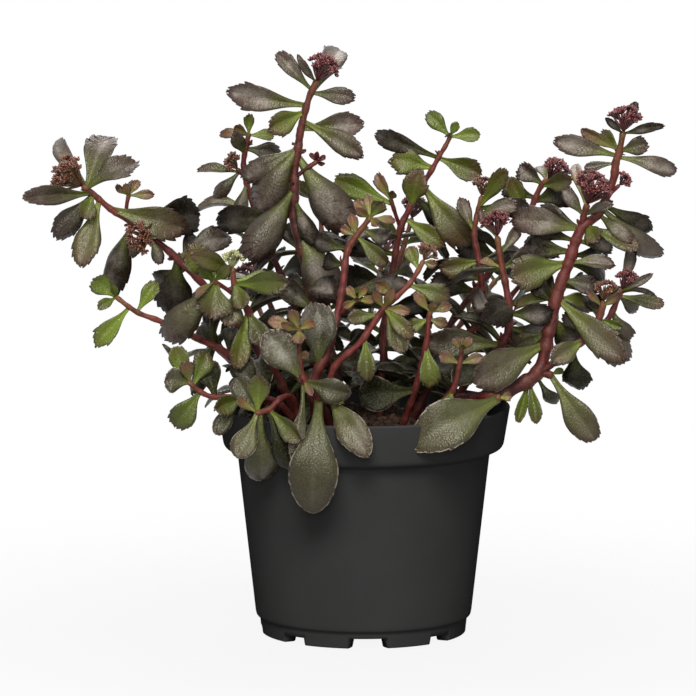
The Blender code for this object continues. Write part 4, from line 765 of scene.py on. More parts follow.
def stem_line(points, thick):
    """Places and radii down a branch, at each of its points and at most about RING_STEP apart."""
    last = len(points) - 1
    stops = [0.0]
    for first in range(last):
        span = (Vector(points[first + 1]) - Vector(points[first])).length
        parts = max(1, round(span / RING_STEP))
        stops += [first + (part + 1) / parts for part in range(parts)]
    foot, tip = thick
    return [(point_on(points, at)[0], (foot + (tip - foot) * at / last) / 2) for at in stops]


def stem_tube(line):
    """A tapered tube along the line with closed ends, as corners and faces."""
    curve = bpy.data.curves.new("stem", "CURVE")
    curve.dimensions = "3D"
    curve.bevel_depth = 1.0
    curve.bevel_resolution = STEM_BEVEL
    curve.use_fill_caps = True
    spline = curve.splines.new("POLY")
    spline.points.add(len(line) - 1)
    for point, (place, radius) in zip(spline.points, line):
        point.co = (*place, 1.0)
        point.radius = radius
    guide = linked("stem", curve)
    mesh = bpy.data.meshes.new_from_object(guide.evaluated_get(bpy.context.evaluated_depsgraph_get()))
    bpy.data.objects.remove(guide)
    bm = bmesh.new()
    bm.from_mesh(mesh)
    bmesh.ops.remove_doubles(bm, verts=bm.verts, dist=0.001)
    return corners_and_faces(bm)


def corners_and_faces(bm):
    corners = [vert.co.copy() for vert in bm.verts]
    faces = [tuple(vert.index for vert in face.verts) for face in bm.faces]
    bm.free()
    return corners, faces


def head_place(points, radius):
    tip, along = point_on(points, len(points) - 1)
    return tip + along * (radius + GAP), along


def settle_leaves(plan, tubes):
    """Gives each shoot the leaves that have room, the tables' leaves first."""
    room = Room()
    room.add("nursery_pot", *pot_guard())
    for name, branches in plan.items():
        for (points, _, _, head), tube in zip(branches, tubes[name]):
            room.add(name, *tube)
            if head:
                place, _ = head_place(points, head[1])
                room.add(head[0], *ball(place, head[1]))
    settled = {}
    for name, branches in plan.items():
        settled[name] = [
            [settle(room, name, blade) for blade in blades] for _, _, blades, _ in branches
        ]
    for name in SHOOTS:
        settled[name][0] += [settle(room, name, blade) for blade in core_blades(plan[name][0][0])]
    return settled


def ball(centre, radius):
    bm = bmesh.new()
    bmesh.ops.create_icosphere(bm, subdivisions=2, radius=radius)
    bmesh.ops.translate(bm, verts=bm.verts, vec=centre)
    return corners_and_faces(bm)


def pot_guard():
    """The pot's rim and wall as plain rings, a little proud, for the leaves to stay clear of."""
    rims = []
    inside = RIM_RADIUS - RIM_LIP - GUARD
    for radius, height in (
        (inside, SOIL_LEVEL + SOIL_CROWN), (inside, POT_HEIGHT + GUARD),
        (RIM_RADIUS + GUARD, POT_HEIGHT + GUARD), (RIM_FOOT_RADIUS + GUARD, POT_HEIGHT - RIM_BAND),
        (BODY_TOP_RADIUS + GUARD, POT_HEIGHT - RIM_BAND - WALL_DROP), (BODY_FOOT_RADIUS + GUARD, 0.0),
    ):
        rims.append(
            [Vector((radius * math.cos(a), radius * math.sin(a), height))
             for a in (math.tau * side / POT_SIDES for side in range(POT_SIDES))]
        )
    return loft(rims)


# %% Grow the plan
plan = plan_shoots()
lines = {
    name: [stem_line(points, thick) for points, thick, _, _ in branches]
    for name, branches in plan.items()
}
tubes = {name: [stem_tube(line) for line in of_shoot] for name, of_shoot in lines.items()}
leaves = settle_leaves(plan, tubes)
print("leaves:", sum(len(blades) for of_shoot in leaves.values() for blades in of_shoot))

# %% [markdown]
# ## Leaves
# A stonecrop leaf is a fleshy spoon: a narrow stalk, a blade that is widest near its end, a keel
# under the midrib, and blunt teeth round the far half. Each leaf is a closed skin of two layers and
# a round rim. One template holds the corners' places in leaf terms: how far along the outline, how
# far out from the midrib, on which layer, and at which point of which tooth. Rows of corners follow
# the teeth, so that every notch stays sharp. The same template then serves every leaf, and numpy
# works out all the corners of a leaf at once.

# %% Leaf template
Template = namedtuple("Template", "side run out layer tooth faces")
TIP_FROM = 0.4
TEETH_FROM = 0.44


def make_template(plain_rows, teeth, rows_per_tooth, columns):
    """Corners of a leaf by side, run along the outline, share out from the midrib, layer and tooth."""
    toothed_rows = round((teeth + 0.65) * rows_per_tooth)
    rows = plain_rows + toothed_rows
    corners = {}
    facts = []
    faces = []

    def corner(layer, row, column):
        if column == 0:
            row = min(row, 2 * rows - row)
        key = (layer, row, column)
        if key not in corners:
            corners[key] = len(facts)
            walked = min(row, 2 * rows - row)
            if walked <= plain_rows:
                run = TEETH_FROM * walked / plain_rows
            else:
                run = TEETH_FROM + (1 - TEETH_FROM) * (walked - plain_rows) / toothed_rows
            tooth = max(0, walked - plain_rows) / rows_per_tooth
            facts.append((-1 if row < rows else 1, run, column / columns, layer, tooth))
        return corners[key]

    for row in range(2 * rows):
        for column in range(columns):
            for layer in (1, -1):
                quad = [
                    corner(layer, row, column), corner(layer, row, column + 1),
                    corner(layer, row + 1, column + 1), corner(layer, row + 1, column),
                ]
                faces.append(quad if layer > 0 else quad[::-1])
        for upper, lower in ((1, 0), (0, -1)):
            faces.append([
                corner(upper, row + 1, columns), corner(upper, row, columns),
                corner(lower, row, columns), corner(lower, row + 1, columns),
            ])
    for row, at_start in ((0, True), (2 * rows, False)):
        for column in range(columns):
            quad = [
                corner(1, row, column), corner(-1, row, column),
                corner(-1, row, column + 1), corner(1, row, column + 1),
            ]
            faces.append(quad if at_start else quad[::-1])
        rim = [corner(1, row, columns), corner(-1, row, columns), corner(0, row, columns)]
        faces.append(rim if at_start else rim[::-1])
    side, run, out, layer, tooth = (np.array(column, float) for column in zip(*facts))
    return Template(side, run, out, layer, tooth, faces)


BROAD_LEAF = make_template(12, 4, 7, 4)
MIDDLE_LEAF = make_template(9, 3, 6, 3)
SMALL_LEAF = make_template(7, 2, 5, 3)
print("leaf corners:", len(BROAD_LEAF.side), len(MIDDLE_LEAF.side), len(SMALL_LEAF.side))

# %% Leaf shape
TOOTH_DEPTH = 0.10
TOOTH_CREST = 0.8
TOOTH_LEAN = 0.75
SPINE_LAG = 0.8
SPOON = 1.3
BROAD_FROM = 9.5
MIDDLE_FROM = 5.5
FLUSH_WIDTH = 6.3


def outline(run, widest, power):
    """The plain outline of a leaf, without teeth, in shares of its length and of its half width."""
    rise = np.clip(run / TIP_FROM, 0, 1)
    spoon = rise**power
    angle = np.clip((run - TIP_FROM) / (1 - TIP_FROM), 0, 1) * math.pi / 2
    along = np.where(run > TIP_FROM, widest + (1 - widest) * np.sin(angle), widest * rise)
    half = STALK_SHARE + (1 - STALK_SHARE) * spoon**2 * (3 - 2 * spoon)
    return along, np.where(run > TIP_FROM, np.cos(angle), half)


def leaf_mesh(blade, rng):
    """Corners, faces and the colouring facts of one finished leaf."""
    if blade.width > BROAD_FROM:
        template = BROAD_LEAF
    else:
        template = MIDDLE_LEAF if blade.width > MIDDLE_FROM else SMALL_LEAF
    side, out, layer = template.side, template.out, template.layer
    length, half_wide = blade.reach.length, blade.width / 2

    # Uneven spacing of the teeth, then the plain outline.
    wander = rng.uniform(0, 6, 2)
    run = template.run + 0.018 * np.sin(template.run * 11 + np.where(side > 0, *wander)) * (
        np.clip(template.run * 4, 0, 1) * np.clip((1 - template.run) * 6, 0, 1)
    )
    hang = min(max(-1.6 * blade.reach.z / length - 0.3, 0), 1) * min(max(3 * (blade.age - 0.4), 0), 1)
    neck = hang * low_down(blade)
    length *= 1 - 0.06 * neck
    widest = WIDEST + 0.09 * neck
    along, half = outline(run, widest, SPOON + 0.8 * neck)
    past = np.clip((along - widest) / (1 - widest), 0, 1)
    spine = np.where(past > 0, widest + (1 - widest) * SPINE_LAG * past, along)
    x = (spine + (along - spine) * out) * length
    y = side * half * out * half_wide

    # Teeth push the outline outwards along its own normal. Each rises slowly and drops at once.
    number = np.floor(template.tooth)
    share = template.tooth - number
    uneven = 0.35 + 0.95 * np.sin(number * 2.3 + np.where(side > 0, *wander)) ** 2
    depth = TOOTH_DEPTH * blade.width * rng.uniform(0.6, 1.2) * (1.15 - 0.95 * low_down(blade))
    rising = np.clip(share / TOOTH_CREST, 0, 1) ** 0.75
    falling = np.clip((1 - share) / (1 - TOOTH_CREST), 0, 1) ** 0.8
    swell = np.minimum(rising, falling) * (template.tooth > 0)
    slope = np.where(past > 0, np.sin(np.arccos(np.clip(half, 0, 1))), 0.2)
    steep = np.sqrt(1 - slope**2)
    grow = depth * uneven * swell * out**3
    x = x + grow * (slope + TOOTH_LEAN * steep)
    y = y + grow * (steep - TOOTH_LEAN * slope) * side

    # The cup, the arch, a wavy edge, a curled tip and a twist. A hanging leaf is domed, not cupped.
    fold = FOLD * rng.uniform(0.8, 1.6)
    bend = (1 - hang) * out**1.2 - 1.1 * hang * out**2.2
    cup = half * half_wide * math.sin(fold) * bend
    y = y * (1 - (1 - math.cos(fold)) * out)
    share = np.clip(x / length, 0, 1.1)
    arch = 4 * share * (1 - share) * blade.arch
    wave = half_wide * rng.uniform(0.03, 0.10) * out**2 * np.clip(share * 2, 0, 1)
    wave = wave * np.sin(share * rng.uniform(8, 13) + side * 1.3 + wander[0])
    roll = half_wide * rng.uniform(0.0, 0.28) * out**5 * half
    curl = rng.uniform(-0.10, 0.22) * length * np.clip(share - 0.5, 0, 1) ** 2 * 4
    z = cup + arch + wave - roll - curl
    twist = rng.uniform(-0.35, 0.35) * share**1.5
    y, z = y * np.cos(twist) - z * np.sin(twist), z * np.cos(twist) + y * np.sin(twist)

    # Fleshy, with a keel below and a thin round rim.
    thick = LEAF_THICKNESS * (0.75 + 0.5 * blade.age) * min(1.0, 0.4 + blade.width / 16)
    keel = thick * (1 - 0.62 * out**1.6) * (1.2 - 0.5 * share)
    plump = thick * 0.25 * np.sin(math.pi * out) * np.clip(share * 2, 0, 1)
    z = z + np.where(layer > 0, plump, np.where(layer < 0, -keel, -keel * 0.5))
    bulge = np.where(layer == 0, thick * 0.18, 0)
    x = x + bulge * slope
    y = y + bulge * steep * side

    axis = np.array(blade.reach.normalized())
    across = np.cross(axis, np.array(blade.normal))
    across /= np.linalg.norm(across)
    up = np.cross(across, axis)
    places = np.array(blade.base) + np.outer(x, axis) + np.outer(y, across) + np.outer(z, up)
    count = len(x)
    facts = {
        "along": share,
        "edge": out,
        "age": np.full(count, blade.age),
        "tint": np.full(count, rng.random()),
        "upper": (layer > 0).astype(float),
        "worn": np.full(count, low_down(blade) * rng.uniform(0.5, 1.0)),
        "flush": np.full(count, flushed(blade) * rng.uniform(0.6, 1.0)),
    }
    return places * MM, template.faces, facts


def low_down(blade):
    """How low a leaf grows, from 0 to 1: the old low leaves have a worn pale rim and duller teeth."""
    return min(max((132 - blade.base.z) / 25, 0), 1) * min(max(4 * (blade.age - 0.3), 0.3), 1)


def flushed(blade):
    """Whether a leaf is one of the small new ones round a tip, which are yellow and orange."""
    return float(blade.width < FLUSH_WIDTH and 0.25 <= blade.age <= 0.65)


# %% Mesh builder


def mesh_piece(name, batches, material, body="root"):
    """One piece from batches of (corners, faces, facts). The facts become attributes for its material."""
    corners, faces, facts = [], [], {}
    start = 0
    for places, batch_faces, batch_facts in batches:
        corners.append(np.asarray(places, float))
        faces += [[start + i for i in face] for face in batch_faces]
        start += len(places)
        for key, values in batch_facts.items():
            facts.setdefault(key, []).append(values)
    mesh = bpy.data.meshes.new(name)
    mesh.from_pydata(np.concatenate(corners), [], faces)
    for key, values in facts.items():
        layer = mesh.attributes.new(key, "FLOAT", "POINT")
        layer.data.foreach_set("value", np.concatenate(values).astype(np.float32))
    mesh.shade_smooth()
    mesh.materials.append(material)
    made = linked(name, mesh)
    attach(made, body)
    return made


def triangles(piece):
    return sum(len(face.vertices) - 2 for face in piece.data.polygons)


# %% [markdown]
# ### Shared finishes
# Two effects come back in several materials, so each is a node group that is made once. Grain is a
# field of tiny domes: the bubbly skin of a leaf, the eggshell of moulded plastic, the grit of soil.
# Patches are soft clouds that break up an even colour.

# %% Shared node groups


def new_group(name, inputs, outputs):
    group = bpy.data.node_groups.new(name, "ShaderNodeTree")
    for socket, value in inputs.items():
        made = group.interface.new_socket(socket, in_out="INPUT", socket_type="NodeSocketFloat")
        made.default_value = value
    for socket in outputs:
        group.interface.new_socket(socket, in_out="OUTPUT", socket_type="NodeSocketFloat")
    return group, group.nodes.new("NodeGroupInput"), group.nodes.new("NodeGroupOutput")


def texture(tree, kind, values=None, **settings):
    """A texture in the object's own coordinates."""
    node = add_node(tree, kind, values, **settings)
    join(tree, add_node(tree, "ShaderNodeTexCoord"), "Object", node, "Vector")
    return node


grain_group, given, result = new_group(
    "grain", {"Scale": 1500.0, "Softness": 0.5}, ["Height", "Mask"]
)
domes = texture(grain_group, "ShaderNodeTexVoronoi", feature="SMOOTH_F1")
join(grain_group, given, "Scale", domes, "Scale")
join(grain_group, given, "Softness", domes, "Smoothness")
height = add_node(grain_group, "ShaderNodeMath", {0: 1.0}, operation="SUBTRACT")
join(grain_group, domes, "Distance", height, 1)
join(grain_group, height, "Value", result, "Height")
join(grain_group, *smooth_between(grain_group, domes, "Distance", 0.55, 0.15), result, "Mask")

patches_group, given, result = new_group(
    "patches", {"Scale": 90.0, "Low": 0.4, "High": 0.65}, ["Mask"]
)
cloud = texture(patches_group, "ShaderNodeTexNoise", {"Detail": 4.0, "Roughness": 0.6})
join(patches_group, given, "Scale", cloud, "Scale")
step = add_node(patches_group, "ShaderNodeMapRange", interpolation_type="SMOOTHSTEP")
join(patches_group, cloud, "Fac", step, "Value")
join(patches_group, given, "Low", step, "From Min")
join(patches_group, given, "High", step, "From Max")
join(patches_group, step, "Result", result, "Mask")


def place_group(tree, group, **values):
    node = tree.nodes.new("ShaderNodeGroup")
    node.node_tree = group
    for socket, value in values.items():
        node.inputs[socket].default_value = value
    return node


def patches(tree, scale, low, high):
    """The mask of the patches. A larger scale gives smaller clouds."""
    return place_group(tree, patches_group, Scale=scale, Low=low, High=high), "Mask"


def multiply(tree, *factors):
    """A chain of nodes that multiplies outputs, given as (node, output), and plain numbers."""
    (node, output), *rest = factors
    for factor in rest:
        product = add_node(tree, "ShaderNodeMath", operation="MULTIPLY")
        join(tree, node, output, product, 0)
        if isinstance(factor, tuple):
            join(tree, *factor, product, 1)
        else:
            product.inputs[1].default_value = factor
        node, output = product, "Value"
    return node, output


def attribute(tree, name):
    return add_node(tree, "ShaderNodeAttribute", attribute_name=name), "Fac"


MIX_A, MIX_B, MIX_RESULT = 6, 7, 2


def layer_colour(tree, below, above, *masks):
    """Lays a colour over another through masks. A colour is a (node, output) pair or three numbers."""
    node = add_node(tree, "ShaderNodeMix", data_type="RGBA")
    for colour, socket in ((below, MIX_A), (above, MIX_B)):
        if isinstance(colour[0], (int, float)):
            node.inputs[socket].default_value = (*colour, 1.0)
        else:
            join(tree, *colour, node, socket)
    join(tree, *multiply(tree, *masks), node, "Factor")
    return node, MIX_RESULT


def colour_ramp(tree, source, stops):
    """A colour that follows the source through stops, which are (position, colour) pairs."""
    node = add_node(tree, "ShaderNodeValToRGB")
    elements = node.color_ramp.elements
    while len(elements) < len(stops):
        elements.new(1.0)
    for element, (position, colour) in zip(elements, stops):
        element.position = position
        element.color = (*colour, 1.0)
    join(tree, *source, node, "Fac")
    return node, "Color"


def scaled(tree, source, low, high):
    """A value that goes from low to high as the source goes from 0 to 1."""
    node = add_node(tree, "ShaderNodeMapRange", {"To Min": low, "To Max": high})
    join(tree, *source, node, "Value")
    return node, "Result"


def rough_between(tree, source, low, high, shader):
    join(tree, *scaled(tree, source, low, high), shader, "Roughness")


def bump_from(tree, height, strength, distance, shader, below=None):
    """A bump from a height, on top of the normal of an earlier bump."""
    node = add_node(tree, "ShaderNodeBump", {"Strength": strength, "Distance": distance})
    join(tree, *height, node, "Height")
    if below is not None:
        join(tree, below, "Normal", node, "Normal")
    join(tree, node, "Normal", shader, "Normal")
    return node


# %% [markdown]
# ### Leaf skin
# One skin serves the leaves from the fresh green shoots to the bronze ones, because it reads each
# leaf's age from the mesh. The foot of a leaf stays green, its end turns bronze, and its edge
# carries a dark purple line, or a worn pale one on the old leaves low down. A silvery layer lies in
# patches on the middle of each grown blade: partly the leaf's wax bloom, partly a painted sheen where
# a rounded blade would catch the light. Towards its edges the blade is painted darker, as painted
# shade. Fine grain makes the surface sparkle. A darker, duller copy of the same skin is for the
# oldest leaves deep in the plant: partly the dark colour of age, partly painted shade.

# %% Leaf material
SILVER_SHEEN = (0.12, 1.0)
STIPPLE = (0.11, 0.28)
PITS = 0.32
FRESH_TINT = (0.66, 1.30)
LEAF_GLOSS = 0.4
leaf_material, tree, shader = new_material("leaf_skin", 0.42)
age, along, edge, worn = (attribute(tree, fact) for fact in ("age", "along", "edge", "worn"))
foot_colour = colour_ramp(tree, age, [
    (0.0, (0.160, 0.230, 0.020)), (0.5, (0.140, 0.165, 0.024)), (1.0, (0.092, 0.105, 0.022)),
])
body_colour = colour_ramp(tree, age, [
    (0.0, (0.125, 0.188, 0.014)), (0.3, (0.080, 0.094, 0.011)), (0.55, (0.070, 0.066, 0.017)),
    (0.8, (0.056, 0.041, 0.021)), (1.0, (0.022, 0.0175, 0.0080)),
])
tip_colour = colour_ramp(tree, age, [
    (0.0, (0.095, 0.132, 0.011)), (0.3, (0.076, 0.050, 0.014)), (0.6, (0.066, 0.031, 0.019)),
    (0.85, (0.047, 0.021, 0.0175)), (1.0, (0.0165, 0.0090, 0.0072)),
])
cloud = patches(tree, 130.0, 0.3, 0.7)
shift = add_node(tree, "ShaderNodeMath", {1: 0.22}, operation="MULTIPLY_ADD")
join(tree, *cloud, shift, 0)
join(tree, *along, shift, 2)
from_foot = smooth_between(tree, shift, "Value", 0.22, 0.70)
to_tip = smooth_between(tree, shift, "Value", 0.66, 1.10)
colour = layer_colour(tree, foot_colour, body_colour, from_foot)
colour = layer_colour(tree, colour, tip_colour, to_tip)
low_olive = colour_ramp(tree, along, [
    (0.0, (0.064, 0.072, 0.010)), (0.45, (0.033, 0.038, 0.0080)), (1.0, (0.022, 0.025, 0.0070)),
])
colour = layer_colour(tree, colour, low_olive, worn, 0.85)
new_growth = colour_ramp(tree, along, [
    (0.0, (0.27, 0.27, 0.07)), (0.45, (0.21, 0.17, 0.05)), (0.75, (0.19, 0.095, 0.042)),
    (1.0, (0.14, 0.050, 0.034)),
])
colour = layer_colour(tree, colour, new_growth, attribute(tree, "flush"))
midrib = smooth_between(tree, *edge, 0.14, 0.0)
colour = layer_colour(tree, colour, (0.19, 0.21, 0.07), midrib, 0.12)
grown = smooth_between(tree, *age, 0.35, 0.8)
# Partly painted sheen: a pale silvery layer in patches on the middle of each grown blade stands for the wax
# bloom and for the soft highlight that a rounded blade catches.
middle = smooth_between(tree, *edge, 0.95, 0.1)
on_blade = smooth_between(tree, *along, 0.2, 0.6)
bloom_and_sheen = patches(tree, 110.0, 0.36, 0.66)
share = scaled(tree, attribute(tree, "tint"), *SILVER_SHEEN)
silver_sheen_colour = layer_colour(tree, (0.290, 0.247, 0.218), (0.228, 0.236, 0.180), worn)
colour = layer_colour(tree, colour, silver_sheen_colour, middle, on_blade, bloom_and_sheen, grown, share)
papillae = place_group(tree, grain_group, Scale=1150.0, Softness=0.1)
rough_skin = scaled(tree, worn, *STIPPLE)
colour = layer_colour(tree, colour, (0.34, 0.34, 0.25), (papillae, "Mask"), grown, rough_skin)
pits = patches(tree, 1100.0, 0.48, 0.60)
colour = layer_colour(tree, colour, (0.020, 0.015, 0.009), pits, grown, PITS)
# Painted shade: each blade is darker towards its edges, where a rounded leaf turns away from the light.
shade = smooth_between(tree, *edge, 0.55, 1.0)
colour = layer_colour(tree, colour, (0.018, 0.010, 0.008), shade, 0.50)
margin = smooth_between(tree, *edge, 0.94, 0.99)
rim_wear = patches(tree, 330.0, 0.40, 0.58)
rim_colour = layer_colour(tree, (0.026, 0.005, 0.008), (0.46, 0.40, 0.31), rim_wear, worn)
on_tip = smooth_between(tree, *along, 0.2, 0.55)
colour = layer_colour(tree, colour, rim_colour, margin, on_tip, 0.8)
under = add_node(tree, "ShaderNodeMath", {0: 1.0}, operation="SUBTRACT")
join(tree, *attribute(tree, "upper"), under, 1)
colour = layer_colour(tree, colour, (0.100, 0.106, 0.045), (under, "Value"), 0.30)
tint = scaled(tree, attribute(tree, "tint"), *FRESH_TINT)
brightness = add_node(tree, "ShaderNodeHueSaturation")
join(tree, *tint, brightness, "Value")
join(tree, *colour, brightness, "Color")
join(tree, brightness, "Color", shader, "Base Color")
shader.inputs["Specular IOR Level"].default_value = LEAF_GLOSS
shader.inputs["Specular Tint"].default_value = (1.0, 0.96, 0.86, 1.0)
rough_between(tree, bloom_and_sheen, 0.32, 0.44, shader)
wrinkles = texture(tree, "ShaderNodeTexNoise", {"Scale": 150.0, "Detail": 3.0, "Distortion": 0.5})
low_bump = bump_from(tree, multiply(tree, (wrinkles, "Fac"), grown), 0.26, 0.0016, shader)
bump_from(tree, (papillae, "Height"), 0.45, 0.0004, shader, below=low_bump)
print("leaf skin nodes:", len(tree.nodes))

# %% Old leaf material
# Partly painted shade: the oldest leaves deep in the plant get a copy of the skin with a lower random
# brightness, so they come out darker than their age alone makes them. The copy also has less gloss.
SHADED_OLD_TINT = (0.40, 0.95)
OLD_GLOSS = 0.1

tint[0].name = "tint"
shaded_old_leaf_material = leaf_material.copy()
shaded_old_leaf_material.name = "shaded_old_leaf_skin"
old_nodes = shaded_old_leaf_material.node_tree.nodes
old_nodes["Principled BSDF"].inputs["Specular IOR Level"].default_value = OLD_GLOSS
for socket, value in zip(("To Min", "To Max"), SHADED_OLD_TINT):
    old_nodes["tint"].inputs[socket].default_value = value
print("old leaf skin: tint", SHADED_OLD_TINT, "gloss", OLD_GLOSS)

# %% Leaves to show
SHOWN_AT_LEAST = 0.93
AXIL_BUDS = 0.55


def shown_leaf(wanted, found):
    """A leaf as it is shown: where the search put it, and hardly smaller than planned."""
    if found is None:
        return wanted._replace(reach=wanted.reach * SHOWN_AT_LEAST, width=wanted.width * SHOWN_AT_LEAST)
    size = max(found.width, wanted.width * SHOWN_AT_LEAST)
    return found._replace(reach=found.reach * (size / found.width), width=size)


def stays_clear(wanted, found):
    """False for a leaf that found no room and would dip through the pot's wall."""
    return found is not None or (wanted.base + wanted.reach).z > POT_HEIGHT


def axil_pair(points, blade, rng):
    """Two tiny leaves in the angle between an old leaf and its stem."""
    line = [point_on(points, step / 4) for step in range(4 * len(points) - 3)]
    _, along = min(line, key=lambda found: (found[0] - blade.base).length)
    outward = blade.reach.normalized()
    pair = []
    for way in (-1, 1):
        lean = (along + outward * rng.uniform(0.5, 1.0) + blade.normal * 0.35 * way).normalized()
        reach = lean * rng.uniform(2.8, 4.6)
        normal = (outward.cross(along) * way + blade.normal).normalized()
        normal = (normal - lean * lean.dot(normal)).normalized()
        pair.append(Blade(blade.base, reach, normal, reach.length * 0.33, 0.68, 0.3))
    return pair


shown = {}
rng = np.random.default_rng(11)
for name, branches in plan.items():
    shown[name] = []
    for number, ((points, _, wanted, _), found) in enumerate(zip(branches, leaves[name])):
        blades = [shown_leaf(*pair) for pair in zip(wanted, found) if stays_clear(*pair)]
        blades += [blade for blade in found[len(wanted):] if blade is not None]
        old = [blade for blade in blades if blade.age > 0.6 and blade.width > 7 and number == 0]
        for blade in old:
            if rng.random() < AXIL_BUDS and blade.base.z > 110:
                blades += axil_pair(points, blade, rng)
        shown[name].append(blades)
print("leaves shown:", sum(len(blades) for of_shoot in shown.values() for blades in of_shoot))

# %% Make the leaves
OLD_FROM = 0.95
BUD_WIDTH = 2.6


def dress(name, kind, batches, material):
    """A piece that stands for a whole shoot or a share of one."""
    piece = mesh_piece(f"{name}_{kind}", batches, material)
    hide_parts(name)
    return piece


rng = np.random.default_rng(7)
leaf_pieces = []
for name, of_shoot in shown.items():
    blades = [blade for blades in of_shoot for blade in blades if blade.width > BUD_WIDTH]
    fresh = [leaf_mesh(blade, rng) for blade in blades if blade.age < OLD_FROM]
    # The oldest leaves take the darker copy: partly their own old colour, partly painted shade.
    old = [leaf_mesh(blade, rng) for blade in blades if blade.age >= OLD_FROM]
    if fresh:
        leaf_pieces.append(dress(name, "leaves", fresh, leaf_material))
    if old:
        leaf_pieces.append(dress(name, "shaded_old_leaves", old, shaded_old_leaf_material))
print("leaf pieces:", len(leaf_pieces), "triangles:", sum(map(triangles, leaf_pieces)))

# %% [markdown]
# ## Stems
# The stems are thin red rods with a swollen ring at each pair of leaves, and scars where old leaves
# have dropped. A plain curve with a bevel would be quick, but its skin couldn't swell at the nodes.
# So each branch is a tube of many short rings round the same smooth line, and each ring's radius
# grows where a leaf starts.

# %% Stem tubes
RING_LENGTH = 1.2
STEM_SIDES = 12
SCAR_SPACE = (7.0, 12.0)
NODE_SWELL = 0.28
NODE_REACH = 1.5


def ring_stops(points, spacing):
    """Even stops along the smooth curve, counted in points, with the distance walked to each."""
    stops, walked = [0.0], [0.0]
    before, _ = point_on(points, 0)
    total = 0.0
    fine = 24 * (len(points) - 1)
    for step in range(1, fine + 1):
        at = step / 24
        place, _ = point_on(points, at)
        total += (place - before).length
        before = place
        if total - walked[-1] >= spacing or step == fine:
            stops.append(at)
            walked.append(total)
    return stops, walked


def stem_mesh(points, thick, bases, redness, rng):
    """A tube with swollen nodes, and its colouring facts."""
    stops, walked = ring_stops(points, RING_LENGTH)
    total = walked[-1]
    places = [point_on(points, at) for at in stops]
    nodes = []
    for base in bases:
        near = min(range(len(places)), key=lambda i: (places[i][0] - base).length)
        nodes.append(walked[near])
    scar = rng.uniform(*SCAR_SPACE)
    while scar < total:
        nodes.append(scar)
        scar += rng.uniform(*SCAR_SPACE)
    corners, node_share, height_share = [], [], []
    side = places[0][1].orthogonal().normalized()
    last = len(stops) - 1
    for ring, (at, (place, along)) in enumerate(zip(stops, places)):
        side = (side - along * side.dot(along)).normalized()
        other = along.cross(side)
        share = at / (len(points) - 1)
        radius = (thick[0] + (thick[1] - thick[0]) * share) / 2
        near = max((math.exp(-(((walked[ring] - n) / NODE_REACH) ** 2)) for n in nodes), default=0.0)
        radius *= 1 + NODE_SWELL * near
        if ring == last:
            radius *= 0.6
        for turn in range(STEM_SIDES):
            angle = math.tau * turn / STEM_SIDES
            wobble = 1 + 0.06 * noise.noise(place * 0.4 + Vector((turn, 0, 0)))
            out = side * math.cos(angle) + other * math.sin(angle)
            corners.append(place + out * radius * wobble)
            node_share.append(near)
            height_share.append(share)
    facts = {
        "node": np.array(node_share),
        "rise": np.array(height_share),
        "red": np.full(len(corners), redness),
    }
    return np.array(corners) * MM, loft_faces(len(stops), STEM_SIDES), facts


# %% Stem material
STEM_GLOSS = 0.25

stem_material, tree, shader = new_material("stem_skin", 0.45)
rise = attribute(tree, "rise")
dark = colour_ramp(tree, rise, [
    (0.0, (0.014, 0.005, 0.004)), (0.5, (0.042, 0.007, 0.006)), (0.85, (0.100, 0.017, 0.012)),
    (1.0, (0.13, 0.050, 0.022)),
])
bright = colour_ramp(tree, rise, [
    (0.0, (0.085, 0.016, 0.013)), (0.6, (0.185, 0.024, 0.022)), (0.9, (0.18, 0.055, 0.026)),
    (1.0, (0.19, 0.11, 0.035)),
])
colour = layer_colour(tree, dark, bright, attribute(tree, "red"))
streaks = texture(tree, "ShaderNodeTexNoise", {"Scale": 420.0, "Detail": 5.0, "Roughness": 0.65})
streak_mask = smooth_between(tree, streaks, "Fac", 0.5, 0.72)
colour = layer_colour(tree, colour, (0.27, 0.075, 0.055), streak_mask, 0.24)
colour = layer_colour(tree, colour, (0.23, 0.080, 0.05), attribute(tree, "node"), 0.22)
blotch = patches(tree, 220.0, 0.45, 0.7)
colour = layer_colour(tree, colour, (0.022, 0.008, 0.007), blotch, 0.6)
join(tree, *colour, shader, "Base Color")
shader.inputs["Specular IOR Level"].default_value = STEM_GLOSS
rough_between(tree, blotch, 0.38, 0.6, shader)
bump_from(tree, (streaks, "Fac"), 0.7, 0.0008, shader)
print("stem skin nodes:", len(tree.nodes))

# %% Make the stems
VIVID = {"front_red_stemmed_shoot": 1.0, "left_green_shoot": 0.9, "front_centre_shoot": 0.75}
DULL = {"tall_left_shoot": 0.05, "right_main_shoot": 0.5}
MIDDLING = 0.6
stem_pieces = []
for name, branches in plan.items():
    batches = []
    redness = {**VIVID, **DULL}.get(name, MIDDLING)
    for (points, thick, _, _), blades in zip(branches, shown[name]):
        bases = [blade.base for blade in blades]
        batches.append(stem_mesh(points, thick, bases, redness, rng))
        for blade in blades:
            if blade.width <= BUD_WIDTH:
                corners, faces, facts = leaf_mesh(blade, rng)
                facts = {"node": 0 * facts["age"], "rise": facts["along"] / 2, "red": facts["age"] / 2}
                batches.append((corners, faces, facts))
    stem_pieces.append(dress(name, "stems", batches, stem_material))
print("stem pieces:", len(stem_pieces), "triangles:", sum(map(triangles, stem_pieces)))

# %% [markdown]
# ## Flower heads
# A head is a dense cluster of buds like grains of rice, in a few lumps, with small dark bracts
# between them. A bumpy ball would only look like a burr. Here every bud is a small pointed body,
# and golden-angle steps spread the buds evenly over each lump.

# %% Buds
BUD_SIDES = 6
BUD_PROFILE = ((0.0, 0.4), (0.25, 0.9), (0.55, 1.0), (0.82, 0.6), (1.0, 0.08))
STARS_PER_AREA = 0.5
BUDS_PER_STAR = 8
WIDEN = 1.2
FLATTEN = 0.8
GOLDEN_ANGLE = math.pi * (3 - math.sqrt(5))


